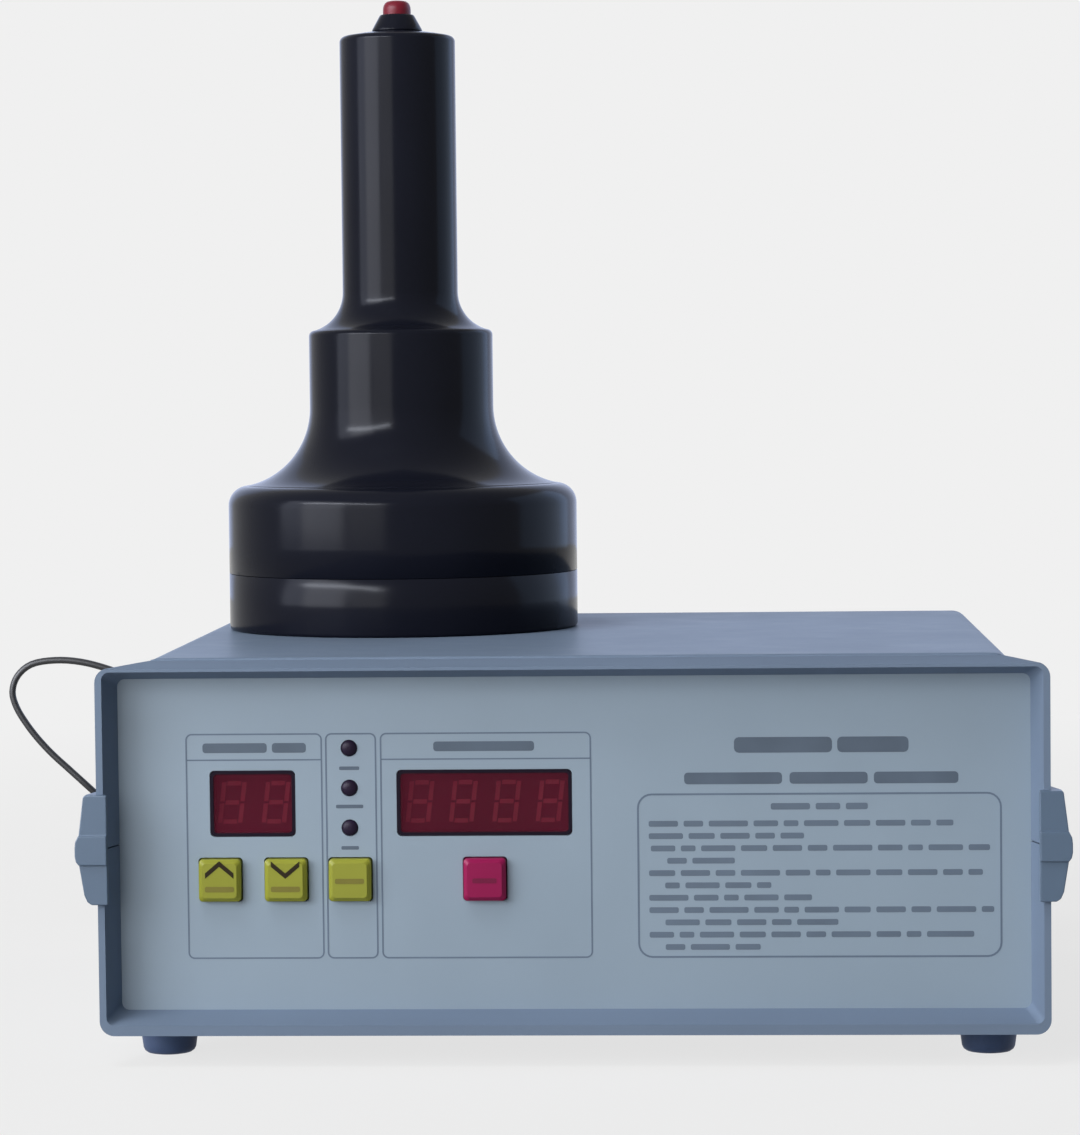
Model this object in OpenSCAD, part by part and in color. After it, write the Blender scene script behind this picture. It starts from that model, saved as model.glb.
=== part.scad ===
// Hand-held induction cap sealer: a power unit in a two-shell bench case, with its sealing head on top.
// Millimetres, +Z up. The front panel faces -Y, and the origin is the middle of the footprint on the table.

/* [Case] */
// Width across the flared front lip
lip_w = 290; // [280:1:310]
// Height of the flared front lip
lip_h = 113; // [108:1:130]
// Depth from the front lip to the rear edge
case_d = 260; // [250:1:300]
// How far the lip stands out past each side
flare_side = 8; // [6:0.5:10]
// How far the lip stands out under the floor
flare_low = 2; // [0.5:0.5:3]
// Depth over which the front flares out to the lip
flare_d = 35; // [30:1:45]
// Straight land at the front of the lip
lip_land = 2; // [1:0.5:4]
// Width of the lip's front face at the sides
lip_face = 2.1; // [1.8:0.1:3.2]
// Height of the lip's front face over the opening
lip_top = 1.3; // [1:0.1:3]
// Height of the lip's front face under the opening
lip_low = 3.2; // [2:0.1:4]
// Corner radius of the lip
lip_r = 4.5; // [4:0.5:9]
// Depth of the sloped band along the lip's top
brow_d = 32; // [20:1:34]
// How far the lip's top slopes down to the front
brow_drop = 0.4; // [0.2:0.1:0.6]
// Radius of the case's long edges
edge_r = 6; // [4:0.5:8]
// Wall of the moulded shells
wall = 2.5; // [2:0.1:3.5]
// Gap that shows as the seam between the two shells
seam_gap = 0.4; // [0.2:0.1:0.8]

/* [Feet and case screws] */
// Height of a rubber foot
foot_h = 10.5; // [6:0.5:14]
// Diameter of a foot where it meets its boss
foot_top_d = 19; // [16:0.5:21]
// Diameter of a foot on the table
foot_low_d = 16.5; // [14:0.5:18]
// Width of the slope round a foot's lower edge
foot_edge = 1.8; // [1:0.1:2.5]
// Height of the moulded boss above a foot
foot_boss_h = 1.5; // [1:0.5:4]
// Diameter of the moulded boss above a foot
foot_boss_d = 21.5; // [21:0.5:26]
// Distance of a foot's axis from the lip's side
foot_in_x = 17; // [15:0.5:30]
// Distance of a foot's axis from the front and rear edges
foot_in_y = 30; // [20:1:50]
// Radius of the screws that join the shells
screw_r = 1.5; // [1.2:0.1:2]
// Distance of the shell screws from the inside of the side walls
screw_in_x = 14; // [10:0.5:20]
// Distance of the shell screws from the front and rear edges
screw_in_y = 52; // [48:1:60]

/* [Side clips] */
// Height of a clip
clip_h = 33.6; // [28:0.1:45]
// Thickness of a clip's leg at its ends
clip_t = 3.7; // [3:0.1:5]
// Thickness of a clip's leg beside its rib
clip_mid_t = 5.2; // [4:0.1:6]
// Length of a clip along the side
clip_len = 26; // [20:1:30]
// Thickness of a clip's cap in front of the edge
clip_cap = 2.5; // [2:0.1:4]
// How far a clip's cap reaches past the wall into the opening
clip_lap = 1.4; // [0.5:0.1:2]
// Height of the finger rib round a clip
clip_rib_h = 9; // [6:0.5:14]
// How far the finger rib stands out
clip_rib_t = 1.1; // [0.8:0.1:2]
// Slope of a clip's lower end
clip_taper = 3; // [1:0.5:5]

/* [Front panel] */
// Depth of the front panel's face behind the lip
panel_recess = 12; // [10:0.5:16]
// How far each reveal wall slopes in between the lip and the panel
reveal_draft = 3.2; // [2.5:0.1:4]
// Thickness of the front panel
panel_t = 3; // [2:0.1:4]
// How far the panel reaches into its groove on each side
panel_lap = 0.9; // [0.6:0.1:1.2]
// Clearance of a panel in its groove
panel_clear = 0.15; // [0.05:0.05:0.3]
// Middle of the sealing-time block along X
time_x = -98.5; // [-105:0.5:-90]
// Middle of the power block along X
power_x = -68.5; // [-72:0.5:-65]
// Middle of the counter block along X
count_x = -27; // [-35:0.5:-20]
// Height of the display windows' middle
window_z = 80; // [76:0.5:90]
// Height of a display window
window_h = 20.5; // [16:0.5:24]
// Width of the two-digit window
time_window_w = 26.5; // [22:0.5:32]
// Width of the four-digit window
count_window_w = 54; // [44:0.5:58]
// Corner radius of a window
window_r = 1.5; // [0.5:0.1:3]
// Thickness of a window's flange behind the panel
window_flange_t = 1.2; // [1:0.1:2]
// How far a window's flange reaches past its cut-out
window_flange = 1.2; // [1:0.1:1.4]
// Height of the keys' middle
key_z = 56.5; // [50:0.5:60]
// Side of a square key cap
key_w = 13; // [10:0.5:15]
// Corner radius of a key cap
key_r = 1.2; // [0.8:0.1:2]
// How far a key stands out of the panel
key_proud = 3.5; // [2.5:0.1:6]
// Distance of the two time keys from the middle of their block
key_spread = 10.2; // [9.5:0.1:11]
// Clearance all round a key in the panel
key_clear = 0.35; // [0.2:0.05:0.5]
// How far a key travels
key_travel = 1.2; // [0.8:0.1:1.6]
// Height of the top indicator lamp
lamp_top_z = 97; // [94:0.5:100]
// Distance between indicator lamps
lamp_pitch = 12.3; // [10:0.1:13]
// Radius of an indicator lamp
lamp_r = 2.5; // [1.5:0.1:3]

/* [Boards and power parts] */
// Room between the front panel and its control board
board_gap = 10; // [9:0.5:14]
// Thickness of the circuit boards
board_t = 1.6; // [1.2:0.1:2]
// Width of the control board
board_w = 140; // [138:1:150]
// Height of the control board
board_h = 66; // [64:1:72]
// Radius of the pegs and posts that carry the boards
post_r = 3; // [2.5:0.1:4]
// Height of the posts under the power board
post_h = 8; // [5:0.5:14]
// Width of the power board
power_w = 200; // [180:1:220]
// Depth of the power board
power_d = 120; // [110:1:130]
// Height of the heat sink
sink_h = 38; // [25:1:55]
// Length of the heat sink
sink_len = 70; // [50:1:90]
// Thickness of the heat sink's base
sink_base_h = 6; // [4:0.5:10]
// Thickness of a heat sink's fin
fin_t = 2; // [1:0.1:3]
// Distance between the heat sink's fins
fin_pitch = 8; // [6:0.5:10]
// Height of the smoothing capacitors
can_h = 42; // [30:1:60]
// Radius of the smoothing capacitors
can_r = 15; // [10:0.5:17]
// Width of the tuning capacitor
tuning_w = 44; // [36:1:48]
// Depth of the tuning capacitor
tuning_d = 16; // [12:1:18]
// Height of the tuning capacitor
tuning_h = 26; // [20:1:32]
// Width of the transformer's core
core_w = 48; // [42:1:54]
// Height of the transformer's core
core_h = 46; // [40:1:56]
// Depth of the transformer's core
core_d = 18; // [14:1:22]
// Thickness of the core above and below its winding
core_yoke = 8; // [6:0.5:10]
// Thickness of the core outside its winding
core_side = 5; // [4:0.5:6]
// How far the winding stands out in front of the core and behind it
wind_out = 10; // [6:0.5:12]

/* [Rear panel] */
// Depth of the rear panel's face inside the rear edge
rear_recess = 7; // [6:0.5:10]
// Thickness of the rear panel
rear_t = 2.5; // [2:0.1:3]
// Side of the square cooling fan
fan_w = 60; // [50:1:70]
// Thickness of the cooling fan
fan_t = 20; // [18:0.5:25]
// Middle of the fan along X
fan_x = 70; // [60:1:80]
// Middle of the power inlet along X
inlet_x = -12; // [-25:1:-5]
// Height of the power inlet's middle
inlet_z = 46; // [40:1:50]
// Height of the power switch's middle
switch_z = 88; // [82:1:95]
// Angle that the power switch rocks through
switch_angle = 20; // [16:1:24]
// Middle of the fuse holder along X
fuse_x = -52; // [-60:1:-48]

/* [Sealing head] */
// Middle of the head along X
head_x = -66.5; // [-66.5:0.5:-60]
// Middle of the head along Y
head_y = 60; // [50:1:62]
// Radius of the head's drum
base_r = 61.5; // [58:0.5:62]
// Height of the coil cover under the drum
cover_h = 20; // [18:0.5:24]
// Height of the drum's shoulder
shoulder_z = 50.6; // [48:0.1:54]
// Radius of the drum's shoulder
shoulder_r = 7; // [4:0.5:8]
// Radius of the collar
collar_r = 32.4; // [30:0.1:35]
// Radius of the hollow sweep between the shoulder and the collar
sweep_r = 28; // [26:0.5:29]
// Height of the collar's top edge
collar_z = 105; // [100:0.5:115]
// Radius of the collar's top edge
collar_edge = 2; // [1:0.5:3]
// Radius of the handle
handle_r = 20.3; // [18:0.1:22]
// Radius of the hollow sweep between the collar and the handle
handle_sweep = 14; // [10:0.5:15]
// Height of the handle's top
handle_z = 209.5; // [180:0.5:230]
// Radius of the handle's top edge
handle_edge = 2; // [1.5:0.5:5]
// How far the handle's top rises to the bezel
handle_crown = 1.5; // [1:0.1:2]
// Wall of the head's mouldings
head_wall = 3; // [2.5:0.1:4]
// Height of the bezel round the trigger button
bezel_h = 6; // [4:0.5:9]
// Radius of the trigger button
trigger_r = 4.9; // [4:0.1:5.2]
// How far the trigger button stands out of its bezel
trigger_proud = 5; // [3:0.5:6]
// How far the trigger button travels
trigger_travel = 2; // [1:0.5:2.5]
// Clearance round the trigger button
trigger_clear = 0.3; // [0.2:0.05:0.5]
// Inner radius of the induction coil
coil_in_r = 18; // [14:0.5:22]
// Outer radius of the induction coil
coil_out_r = 50; // [44:0.5:52]
// Thickness of the induction coil
coil_t = 6; // [4:0.5:7]

/* [Cord] */
// Radius of the head's cord
cord_r = 1.3; // [1.2:0.1:1.5]
// Length of a strain relief outside its housing
boot_len = 24.5; // [20:0.5:30]
// Radius of a strain relief where it passes through a wall
boot_r = 5; // [4:0.5:6]
// Height of the strain relief on the head
boot_z = 32; // [28:0.5:36]
// Middle of the rear panel's strain relief along X
gland_x = -105; // [-110:1:-95]
// Height of the rear panel's strain relief
gland_z = 70; // [60:1:80]

/* [Hidden] */
$fn = 64;
hull_fn = 32;
cut = 1;
touch = 0.1;
sliver = 0.01;

// Case levels and planes
case_z0 = foot_h + foot_boss_h;
lip_z0 = case_z0 - flare_low;
lip_z1 = lip_z0 + lip_h;
case_z1 = lip_z1;
seam_z = (case_z0 + case_z1) / 2;
lip_x = lip_w / 2;
side_x = lip_x - flare_side;
inner_x = side_x - wall;
floor_z = case_z0 + wall;
roof_z = case_z1 - wall;
y_front = -case_d / 2;
y_rear = case_d / 2;
inner_r = edge_r - wall;
flare_slope = flare_side / (flare_d - sliver - lip_land);

// Front opening and panel
open_x = lip_x - lip_face;
open_z0 = lip_z0 + lip_low;
open_z1 = lip_z1 - lip_top;
open_r = lip_r - lip_face;
view_x = open_x - reveal_draft;
view_z0 = open_z0 + reveal_draft;
view_z1 = open_z1 - reveal_draft;
panel_y = y_front + panel_recess;
panel_back = panel_t + touch / 2;
board_face = panel_t + board_gap;

// Rear panel
rear_y = y_rear - rear_recess;
groove_lap = wall / 2;

// Shell screws and feet
screw_x = inner_x - screw_in_x;
screw_y = case_d / 2 - screw_in_y;
screw_boss_r = 3 * screw_r;
screw_head_r = 2.1 * screw_r;
screw_head_h = 1.6 * screw_r;
screw_seat_z = case_z0 + 6;
screw_bite = 10;
fit = 0.1;
foot_x = lip_x - foot_in_x;
foot_y = case_d / 2 - foot_in_y;
foot_pin_r = 3;
foot_pin_h = 3;

// Slots in the floor under the power board
vent_x = 50;
vent_pitch = 8;
vent_len = 36;
vent_w = 3;

// Control board
board_x = (time_x - time_window_w / 2 + count_x + count_window_w / 2) / 2;
board_z = (lamp_top_z + key_z) / 2;
board_hole_x = board_w / 2 - post_r - 1;
board_hole_z = board_h / 2 - post_r - 1;
key_hole = key_w + 2 * key_clear;
key_flange = key_hole + 2;
key_flange_t = 1.2;
switch_body = 6;
switch_body_h = 3.5;
switch_pin_h = 1.3;
KEY_PLACES = [[time_x - key_spread, key_z], [time_x + key_spread, key_z], [power_x, key_z], [count_x, key_z]];

// Power board
power_x0 = 10;
power_y0 = 18;
power_z = floor_z + post_h;
power_top = power_z + board_t;
power_hole_x = power_w / 2 - post_r - 5;
power_hole_y = power_d / 2 - post_r - 5;
fins = 9;
sink_x = power_x0 + power_w / 4;
can_x = power_x0 - power_w / 10;
can_pitch = power_d / 3;
can_edge = 1;
tuning_y = power_y0 + power_d / 2 - tuning_d / 2 - 6;
core_x = power_x0 - 0.35 * power_w;
core_y = power_y0 - 5;
core_leg = core_w / 3;
core_gap_w = core_w / 2 - core_leg / 2 - core_side;
core_gap_h = core_h - 2 * core_yoke;
wind_clear = 0.5;

// Rear fittings
fan_z = seam_z;
fan_hole_r = fan_w / 2 - 2;
fan_tip_r = fan_hole_r - 1.2;
fan_hub_r = 0.42 * fan_hole_r;
fan_screw_x = fan_w / 2 - 5;
fan_base_t = 2.5;
fan_gap = 0.4;
guard_wire = 0.9;
guard_eye_h = 2 * guard_wire + 2 * touch;
guard_bar = fan_screw_x * sqrt(2) - screw_r - 0.9;
inlet_w = 27;
inlet_h = 19.5;
inlet_ear_x = 20;
inlet_flange_t = 2.5;
inlet_depth = 18;
switch_w = 13;
switch_h = 19;
switch_rim = 2;
switch_depth = 15;
rocker_w = 9;
rocker_r = 7.2;
rocker_clear = 0.4;
fuse_r = 6;
fuse_len = 30;
fuse_bore = 25;
fuse_wall = 1.2;
fuse_rim = 2;
fuse_cap_t = 2.5;
fuse_cap_len = 18;
fuse_slot = 1.4;
fan_screw_past = 8;
ear_screw_past = 6;
fuse_z = inlet_z;

// Head
head_z = case_z1;
handle_top = handle_z - handle_crown;
sweep_x = collar_r + sweep_r;
sweep_z = shoulder_z + sqrt(sweep_r * sweep_r - pow(sweep_x - base_r + shoulder_r, 2));
handle_sweep_x = handle_r + handle_sweep;
handle_sweep_z = collar_z
    + sqrt(handle_sweep * handle_sweep - pow(handle_sweep_x - collar_r + collar_edge, 2));
head_gap = 0.15;
cover_floor = 3;
cover_lip_h = 4;
cover_in_r = base_r - head_wall - 2.5;
former_t = 3;
ferrite_t = 6;
bezel_low_r = 8.9;
bezel_top_r = trigger_r + trigger_clear + 0.6;
bezel_shank_r = trigger_r + trigger_clear + 1.5;
bezel_shank_h = 10;
stem_r = 2;
well_h = 7;
trigger_switch_h = 24;
trigger_switch_w = 18;
dome_h = 0.6 * trigger_proud;
dome_z = bezel_h + trigger_proud - dome_h;

// Cord routes, chosen by hand: from the head down to the coil, and from the coil round the loop to the case
coil_x = -70;
coil_y = 156;
coil_r = 15;
coil_turns = 5.75;
coil_pitch = 2.8;
DROP = [
    [-66.5, 146, 155], [-66.5, 153, 155], [-67, 161, 152.5], [-68, 166.5, 146.5], [-69, 169, 138],
    [-71, 170.5, 122], [-73, 172, 106], [-75, 173.5, 90], [-77, 175, 74], [-79, 176.5, 58],
    [-81.5, 178.5, 42], [-83.8, 180, 27], [-84.8, 180.5, 17], [-85, 178.2, 9], [-85, 172.5, 3.5],
    [-85, 165.5, 1.6], [-85, 156, 1.5]
];
LOOP = [
    [-70, 171, 17.6], [-80, 171.2, 17], [-91, 172.6, 12.6], [-102.5, 174.6, 6.4], [-114, 176.2, 2.2],
    [-126, 176, 1.9], [-139, 173, 5], [-152, 169, 13], [-166, 164.5, 25], [-180, 160, 39],
    [-190, 157, 49.5], [-197.5, 155, 57], [-204, 155, 63], [-210.5, 155, 69], [-216, 155, 75],
    [-220.5, 155, 81], [-224, 155, 87], [-225.5, 155, 93], [-223.5, 155, 99], [-218, 155, 103.5],
    [-209, 155, 105], [-199, 155, 104.3], [-188, 155.5, 101.3], [-172, 157, 95], [-156, 159.5, 88],
    [-140, 161.5, 80.5], [-126, 162, 75], [-114, 158.5, 71.5], [-107, 152.5, 70.2], [-105, 146, 70]
];

// Shared shapes

// A rectangle with round corners, centred
module plate(w, h, r) {
    square([w - 2 * r, h], center = true);
    square([w, h - 2 * r], center = true);
    for (sx = [-1, 1], sy = [-1, 1])
        translate([sx * (w / 2 - r), sy * (h / 2 - r)]) circle(r);
}

// A section of the case, drawn in X and Z
module section(half_w, z0, z1, r) {
    translate([0, (z0 + z1) / 2]) plate(2 * half_w, z1 - z0, r);
}

// Extrudes an X and Z section from one Y plane to another
module along_y(y0, y1) {
    translate([0, y1, 0]) rotate([90, 0, 0]) linear_extrude(y1 - y0) children();
}

// Places a piece on the front panel's face, with local Z towards the viewer and local Y up
module on_panel(x, z) {
    translate([x, panel_y, z]) rotate([90, 0, 0]) children();
}

// Places a piece on the rear panel's face, with local Z outwards and local Y down
module on_rear(x, z) {
    translate([x, rear_y, z]) rotate([-90, 0, 0]) children();
}

// Places a piece on the head's axis, from the top of the case
module on_head() {
    translate([head_x, head_y, head_z]) children();
}

module at_corners(x, y) {
    for (sx = [-1, 1], sy = [-1, 1]) translate([sx * x, sy * y, 0]) children();
}

// A pan-head screw with its head's seat at Z = 0 and its shank running down
module screw(r, len) {
    cylinder(h = 1.6 * r, r = 2.1 * r);
    translate([0, 0, -len]) cylinder(h = len + touch, r = r);
}

// Case shells

module outer_case() {
    difference() {
        hull() {
            along_y(y_front, y_front + lip_land) section(lip_x, lip_z0, lip_z1, lip_r, $fn = hull_fn);
            along_y(y_front + flare_d - sliver, y_front + flare_d)
                section(side_x, case_z0, case_z1, edge_r, $fn = hull_fn);
        }
        translate([-lip_x - cut, y_front, lip_z1]) rotate([90, 0, 90]) linear_extrude(lip_w + 2 * cut)
            polygon([[-brow_d, cut], [-brow_d, -2 * brow_drop], [brow_d, 0], [brow_d, cut]]);
    }
    along_y(y_front + flare_d, y_rear) section(side_x, case_z0, case_z1, edge_r);
}

// Everything inside the shells: the sloped reveal, both panel grooves and the cavity between them
module case_inside() {
    hull() {
        along_y(y_front - cut, y_front) section(open_x, open_z0, open_z1, open_r, $fn = hull_fn);
        along_y(panel_y, panel_y + cut) section(view_x, view_z0, view_z1, open_r, $fn = hull_fn);
    }
    along_y(panel_y, panel_y + panel_t)
        section(view_x + panel_lap, view_z0 - panel_lap, view_z1 + panel_lap, open_r);
    along_y(panel_y + panel_t - cut, y_rear + cut) section(inner_x, floor_z, roof_z, inner_r);
    along_y(rear_y - rear_t, rear_y)
        section(inner_x + groove_lap, floor_z - groove_lap, roof_z + groove_lap, inner_r);
}

module half_case(z0, z1) {
    intersection() {
        difference() {
            outer_case();
            case_inside();
        }
        translate([-lip_x - cut, y_front - cut, z0])
            cube([lip_w + 2 * cut, case_d + 2 * cut, z1 - z0]);
    }
}

module upper_shell() {
    color("lightsteelblue") difference() {
        union() {
            half_case(seam_z + seam_gap / 2, lip_z1 + cut);
            at_corners(screw_x, screw_y)
                translate([0, 0, seam_z + seam_gap / 2])
                    cylinder(h = roof_z + touch - seam_z - seam_gap / 2, r = screw_boss_r);
        }
        at_corners(screw_x, screw_y)
            translate([0, 0, seam_z]) cylinder(h = screw_bite + 2, r = screw_r + fit / 2);
    }
}

module lower_shell() {
    color("lightsteelblue") difference() {
        union() {
            half_case(lip_z0 - cut, seam_z - seam_gap / 2);
            at_corners(screw_x, screw_y)
                translate([0, 0, floor_z - touch])
                    cylinder(h = seam_z - seam_gap / 2 - floor_z + touch, r = screw_boss_r);
            at_corners(foot_x, foot_y)
                translate([0, 0, foot_h]) cylinder(h = foot_boss_h + touch, r = foot_boss_d / 2);
            translate([power_x0, power_y0, 0]) at_corners(power_hole_x, power_hole_y)
                translate([0, 0, floor_z - touch]) cylinder(h = post_h + touch, r = post_r);
        }
        at_corners(screw_x, screw_y) {
            translate([0, 0, case_z0 - cut]) cylinder(h = seam_z - case_z0 + cut, r = screw_r + 2 * fit);
            translate([0, 0, case_z0 - cut])
                cylinder(h = screw_seat_z - case_z0 + cut, r = screw_head_r + 2 * fit);
        }
        at_corners(foot_x, foot_y)
            translate([0, 0, foot_h - cut]) cylinder(h = foot_pin_h + cut, r = foot_pin_r + fit);
        translate([power_x0, power_y0, 0]) at_corners(power_hole_x, power_hole_y)
            translate([0, 0, power_z - post_h]) cylinder(h = post_h + cut, r = screw_r + fit / 2);
        for (group = [-1, 1], row = [-4 : 4])
            translate([power_x0 + vent_x * group, power_y0 + vent_pitch * row, case_z0 - cut])
                linear_extrude(wall + 2 * cut) plate(vent_len, vent_w, 0.46 * vent_w);
    }
}

module case_screws() {
    color("dimgray") at_corners(screw_x, screw_y)
        translate([0, 0, screw_seat_z]) mirror([0, 0, 1])
            screw(screw_r, seam_z + screw_bite - screw_seat_z);
}

module foot(sx, sy) {
    color("darkslategray") translate([sx * foot_x, sy * foot_y, 0]) {
        cylinder(h = foot_edge, r1 = foot_low_d / 2 - foot_edge, r2 = foot_low_d / 2);
        translate([0, 0, foot_edge])
            cylinder(h = foot_h - foot_edge, r1 = foot_low_d / 2, r2 = foot_top_d / 2);
        translate([0, 0, foot_h - touch]) cylinder(h = foot_pin_h, r = foot_pin_r);
    }
}

// Side clips: a leg along the outside of the wall, and a cap that wraps the edge where the shells meet

// Front view of a clip on the right-hand side: X outwards from the wall, Y up from the seam
module clip_front(inner) {
    polygon([
        [inner, clip_h / 2], [clip_t - 0.5, clip_h / 2], [clip_t, clip_h / 2 - 0.5],
        [clip_mid_t, clip_rib_h / 2], [clip_mid_t, -clip_rib_h / 2],
        [clip_t, clip_taper - clip_h / 2], [0.75 * clip_t, 0.3 * clip_taper - clip_h / 2],
        [0.4 * clip_t, -clip_h / 2], [inner, -clip_h / 2]
    ]);
}

// Front view of a clip's finger rib, which bulges out and slopes back to the leg
module rib_front(inner) {
    polygon([
        [inner, 0.5 * clip_rib_h], [clip_mid_t, 0.5 * clip_rib_h],
        [clip_mid_t + 0.8 * clip_rib_t, 0.3 * clip_rib_h], [clip_mid_t + clip_rib_t, 0.1 * clip_rib_h],
        [clip_mid_t + clip_rib_t, -0.2 * clip_rib_h], [clip_mid_t + 0.7 * clip_rib_t, -0.38 * clip_rib_h],
        [clip_mid_t, -0.5 * clip_rib_h], [inner, -0.5 * clip_rib_h]
    ]);
}

// The leg of a clip, which follows the wall as it draws in
module clip_leg(slope, leg_y) {
    hull() {
        along_y(lip_land, lip_land + sliver) children();
        translate([-slope * (leg_y - lip_land), 0, 0]) along_y(leg_y - sliver, leg_y) children();
    }
}

module clip(sx, sy, wall_x, slope) {
    color("slategray") translate([sx * wall_x, sy * case_d / 2, seam_z]) scale([sx, -sy, 1]) {
        along_y(-clip_cap, 0) clip_front(-lip_face - clip_lap);
        along_y(-clip_cap - clip_rib_t, 0) rib_front(-lip_face - clip_lap);
        along_y(-sliver, lip_land + sliver) {
            clip_front(0);
            rib_front(0);
        }
        clip_leg(slope, clip_len) clip_front(0);
        clip_leg(slope, clip_len - 2) rib_front(0);
    }
}

// Front panel and what it carries

module front_panel() {
    color("lightsteelblue") difference() {
        union() {
            along_y(panel_y, panel_y + panel_t)
                section(view_x + panel_lap - panel_clear, view_z0 - panel_lap + panel_clear,
                    view_z1 + panel_lap - panel_clear, open_r);
            on_panel(board_x, board_z) at_corners(board_hole_x, board_hole_z)
                translate([0, 0, -board_face]) cylinder(h = board_gap + touch, r = post_r);
        }
        on_panel(board_x, board_z) at_corners(board_hole_x, board_hole_z)
            translate([0, 0, -board_face - cut]) cylinder(h = board_gap, r = screw_r + fit / 2);
        on_panel(time_x, window_z) through_panel() plate(time_window_w, window_h, window_r);
        on_panel(count_x, window_z) through_panel() plate(count_window_w, window_h, window_r);
        for (p = KEY_PLACES) on_panel(p[0], p[1]) through_panel() plate(key_hole, key_hole, key_r);
        for (i = [0 : 2]) on_panel(power_x, lamp_top_z - i * lamp_pitch)
            translate([0, 0, -panel_t - cut]) cylinder(h = panel_t + 2 * cut, r = lamp_r + fit);
    }
}

module through_panel() {
    translate([0, 0, -panel_t - cut]) linear_extrude(panel_t + 2 * cut) children();
}

// A red filter: a plug that fills its cut-out and a flange behind the panel
module window(x, w) {
    color("darkred") on_panel(x, window_z) {
        translate([0, 0, -panel_t - touch]) linear_extrude(panel_t + touch)
            plate(w - 2 * fit, window_h - 2 * fit, window_r);
        translate([0, 0, -panel_t - window_flange_t]) linear_extrude(window_flange_t)
            plate(w + 2 * window_flange, window_h + 2 * window_flange, window_r);
    }
}

// A seven-segment display module between its window and the board
module display(x, w) {
    color("black") on_panel(x, window_z) translate([0, 0, -board_face])
        linear_extrude(board_gap - window_flange_t) square([w, window_h], center = true);
}

// An indicator lamp with its leads on the board and its dome through the panel
module lamp(i) {
    color("midnightblue") on_panel(power_x, lamp_top_z - i * lamp_pitch) {
        translate([0, 0, -board_face]) cylinder(h = board_face, r = lamp_r);
        cylinder(h = lamp_r / 2, r1 = lamp_r, r2 = 0.6 * lamp_r);
        translate([0, 0, -panel_t - 1.5]) cylinder(h = 1.5, r = lamp_r + 0.6);
    }
}

// A key cap that slides in the panel, held by a flange behind it, with a stem over its switch
module key(i, tint) {
    stem = board_gap - switch_body_h - switch_pin_h - key_flange_t - key_travel - 2 * fit;
    color(tint) on_panel(KEY_PLACES[i][0], KEY_PLACES[i][1]) {
        translate([0, 0, -panel_back]) hull() {
            linear_extrude(panel_back + key_proud - 1.2) plate(key_w, key_w, key_r, $fn = hull_fn);
            linear_extrude(panel_back + key_proud) plate(key_w - 2.4, key_w - 2.4, key_r, $fn = hull_fn);
        }
        translate([0, 0, -panel_back - key_flange_t]) linear_extrude(key_flange_t)
            plate(key_flange, key_flange, key_r);
        translate([0, 0, -panel_back - key_flange_t - stem]) cylinder(h = stem + touch, r = 2);
    }
}

module key_switches() {
    color("dimgray") for (p = KEY_PLACES) on_panel(p[0], p[1]) translate([0, 0, -board_face]) {
        linear_extrude(switch_body_h) square(switch_body, center = true);
        cylinder(h = switch_body_h + switch_pin_h, r = 1.75);
    }
}

module control_board() {
    color("darkgreen") on_panel(board_x, board_z) translate([0, 0, -board_face - board_t])
        linear_extrude(board_t) difference() {
            plate(board_w, board_h, 2);
            for (sx = [-1, 1], sy = [-1, 1])
                translate([sx * board_hole_x, sy * board_hole_z]) circle(screw_r + fit);
        }
}

module board_screws() {
    color("silver") {
        on_panel(board_x, board_z) at_corners(board_hole_x, board_hole_z)
            translate([0, 0, -board_face - board_t]) mirror([0, 0, 1])
                screw(screw_r, board_t + board_gap - 2);
        translate([power_x0, power_y0, power_top]) at_corners(power_hole_x, power_hole_y)
            screw(screw_r, board_t + post_h - 1);
    }
}

// Power parts

module power_board() {
    color("darkgreen") translate([power_x0, power_y0, power_z]) linear_extrude(board_t) difference() {
        plate(power_w, power_d, 2);
        for (sx = [-1, 1], sy = [-1, 1])
            translate([sx * power_hole_x, sy * power_hole_y]) circle(screw_r + fit);
    }
}

// Extruded aluminium heat sink: a base bar with fins
module heat_sink() {
    span = (fins - 1) * fin_pitch;
    color("silver") translate([sink_x, power_y0, power_top]) along_y(-sink_len / 2, sink_len / 2) {
        translate([-span / 2 - fin_t, 0]) square([span + 2 * fin_t, sink_base_h]);
        for (i = [0 : fins - 1]) translate([i * fin_pitch - span / 2 - fin_t / 2, 0]) square([fin_t, sink_h]);
    }
}

module smoothing_capacitors() {
    color("darkslateblue") for (i = [-1, 1])
        translate([can_x, power_y0 + i * can_pitch / 2, power_top]) {
            cylinder(h = can_h - can_edge, r = can_r);
            translate([0, 0, can_h - can_edge]) cylinder(h = can_edge, r1 = can_r, r2 = can_r - can_edge);
        }
}

module tuning_capacitor() {
    color("goldenrod") translate([can_x, tuning_y, power_top])
        linear_extrude(tuning_h) plate(tuning_w, tuning_d, 2);
}

// Ferrite transformer: two E cores round a wound bobbin
module transformer_core() {
    color("dimgray") translate([core_x, core_y, power_top]) along_y(-core_d / 2, core_d / 2) difference() {
        translate([-core_w / 2, 0]) square([core_w, core_h]);
        for (sx = [-1, 1]) translate([sx * (core_leg + core_gap_w) / 2, core_yoke + core_gap_h / 2])
            square([core_gap_w, core_gap_h], center = true);
    }
}

module transformer_winding() {
    color("peru") translate([core_x, core_y, power_top + core_yoke + wind_clear])
        linear_extrude(core_gap_h - 2 * wind_clear) difference() {
            plate(core_leg + 2 * (core_gap_w - wind_clear), core_d + 2 * wind_out, 5);
            square([core_leg + 2 * wind_clear, core_d + 2 * wind_clear], center = true);
        }
}

// Rear panel and what it carries

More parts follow.
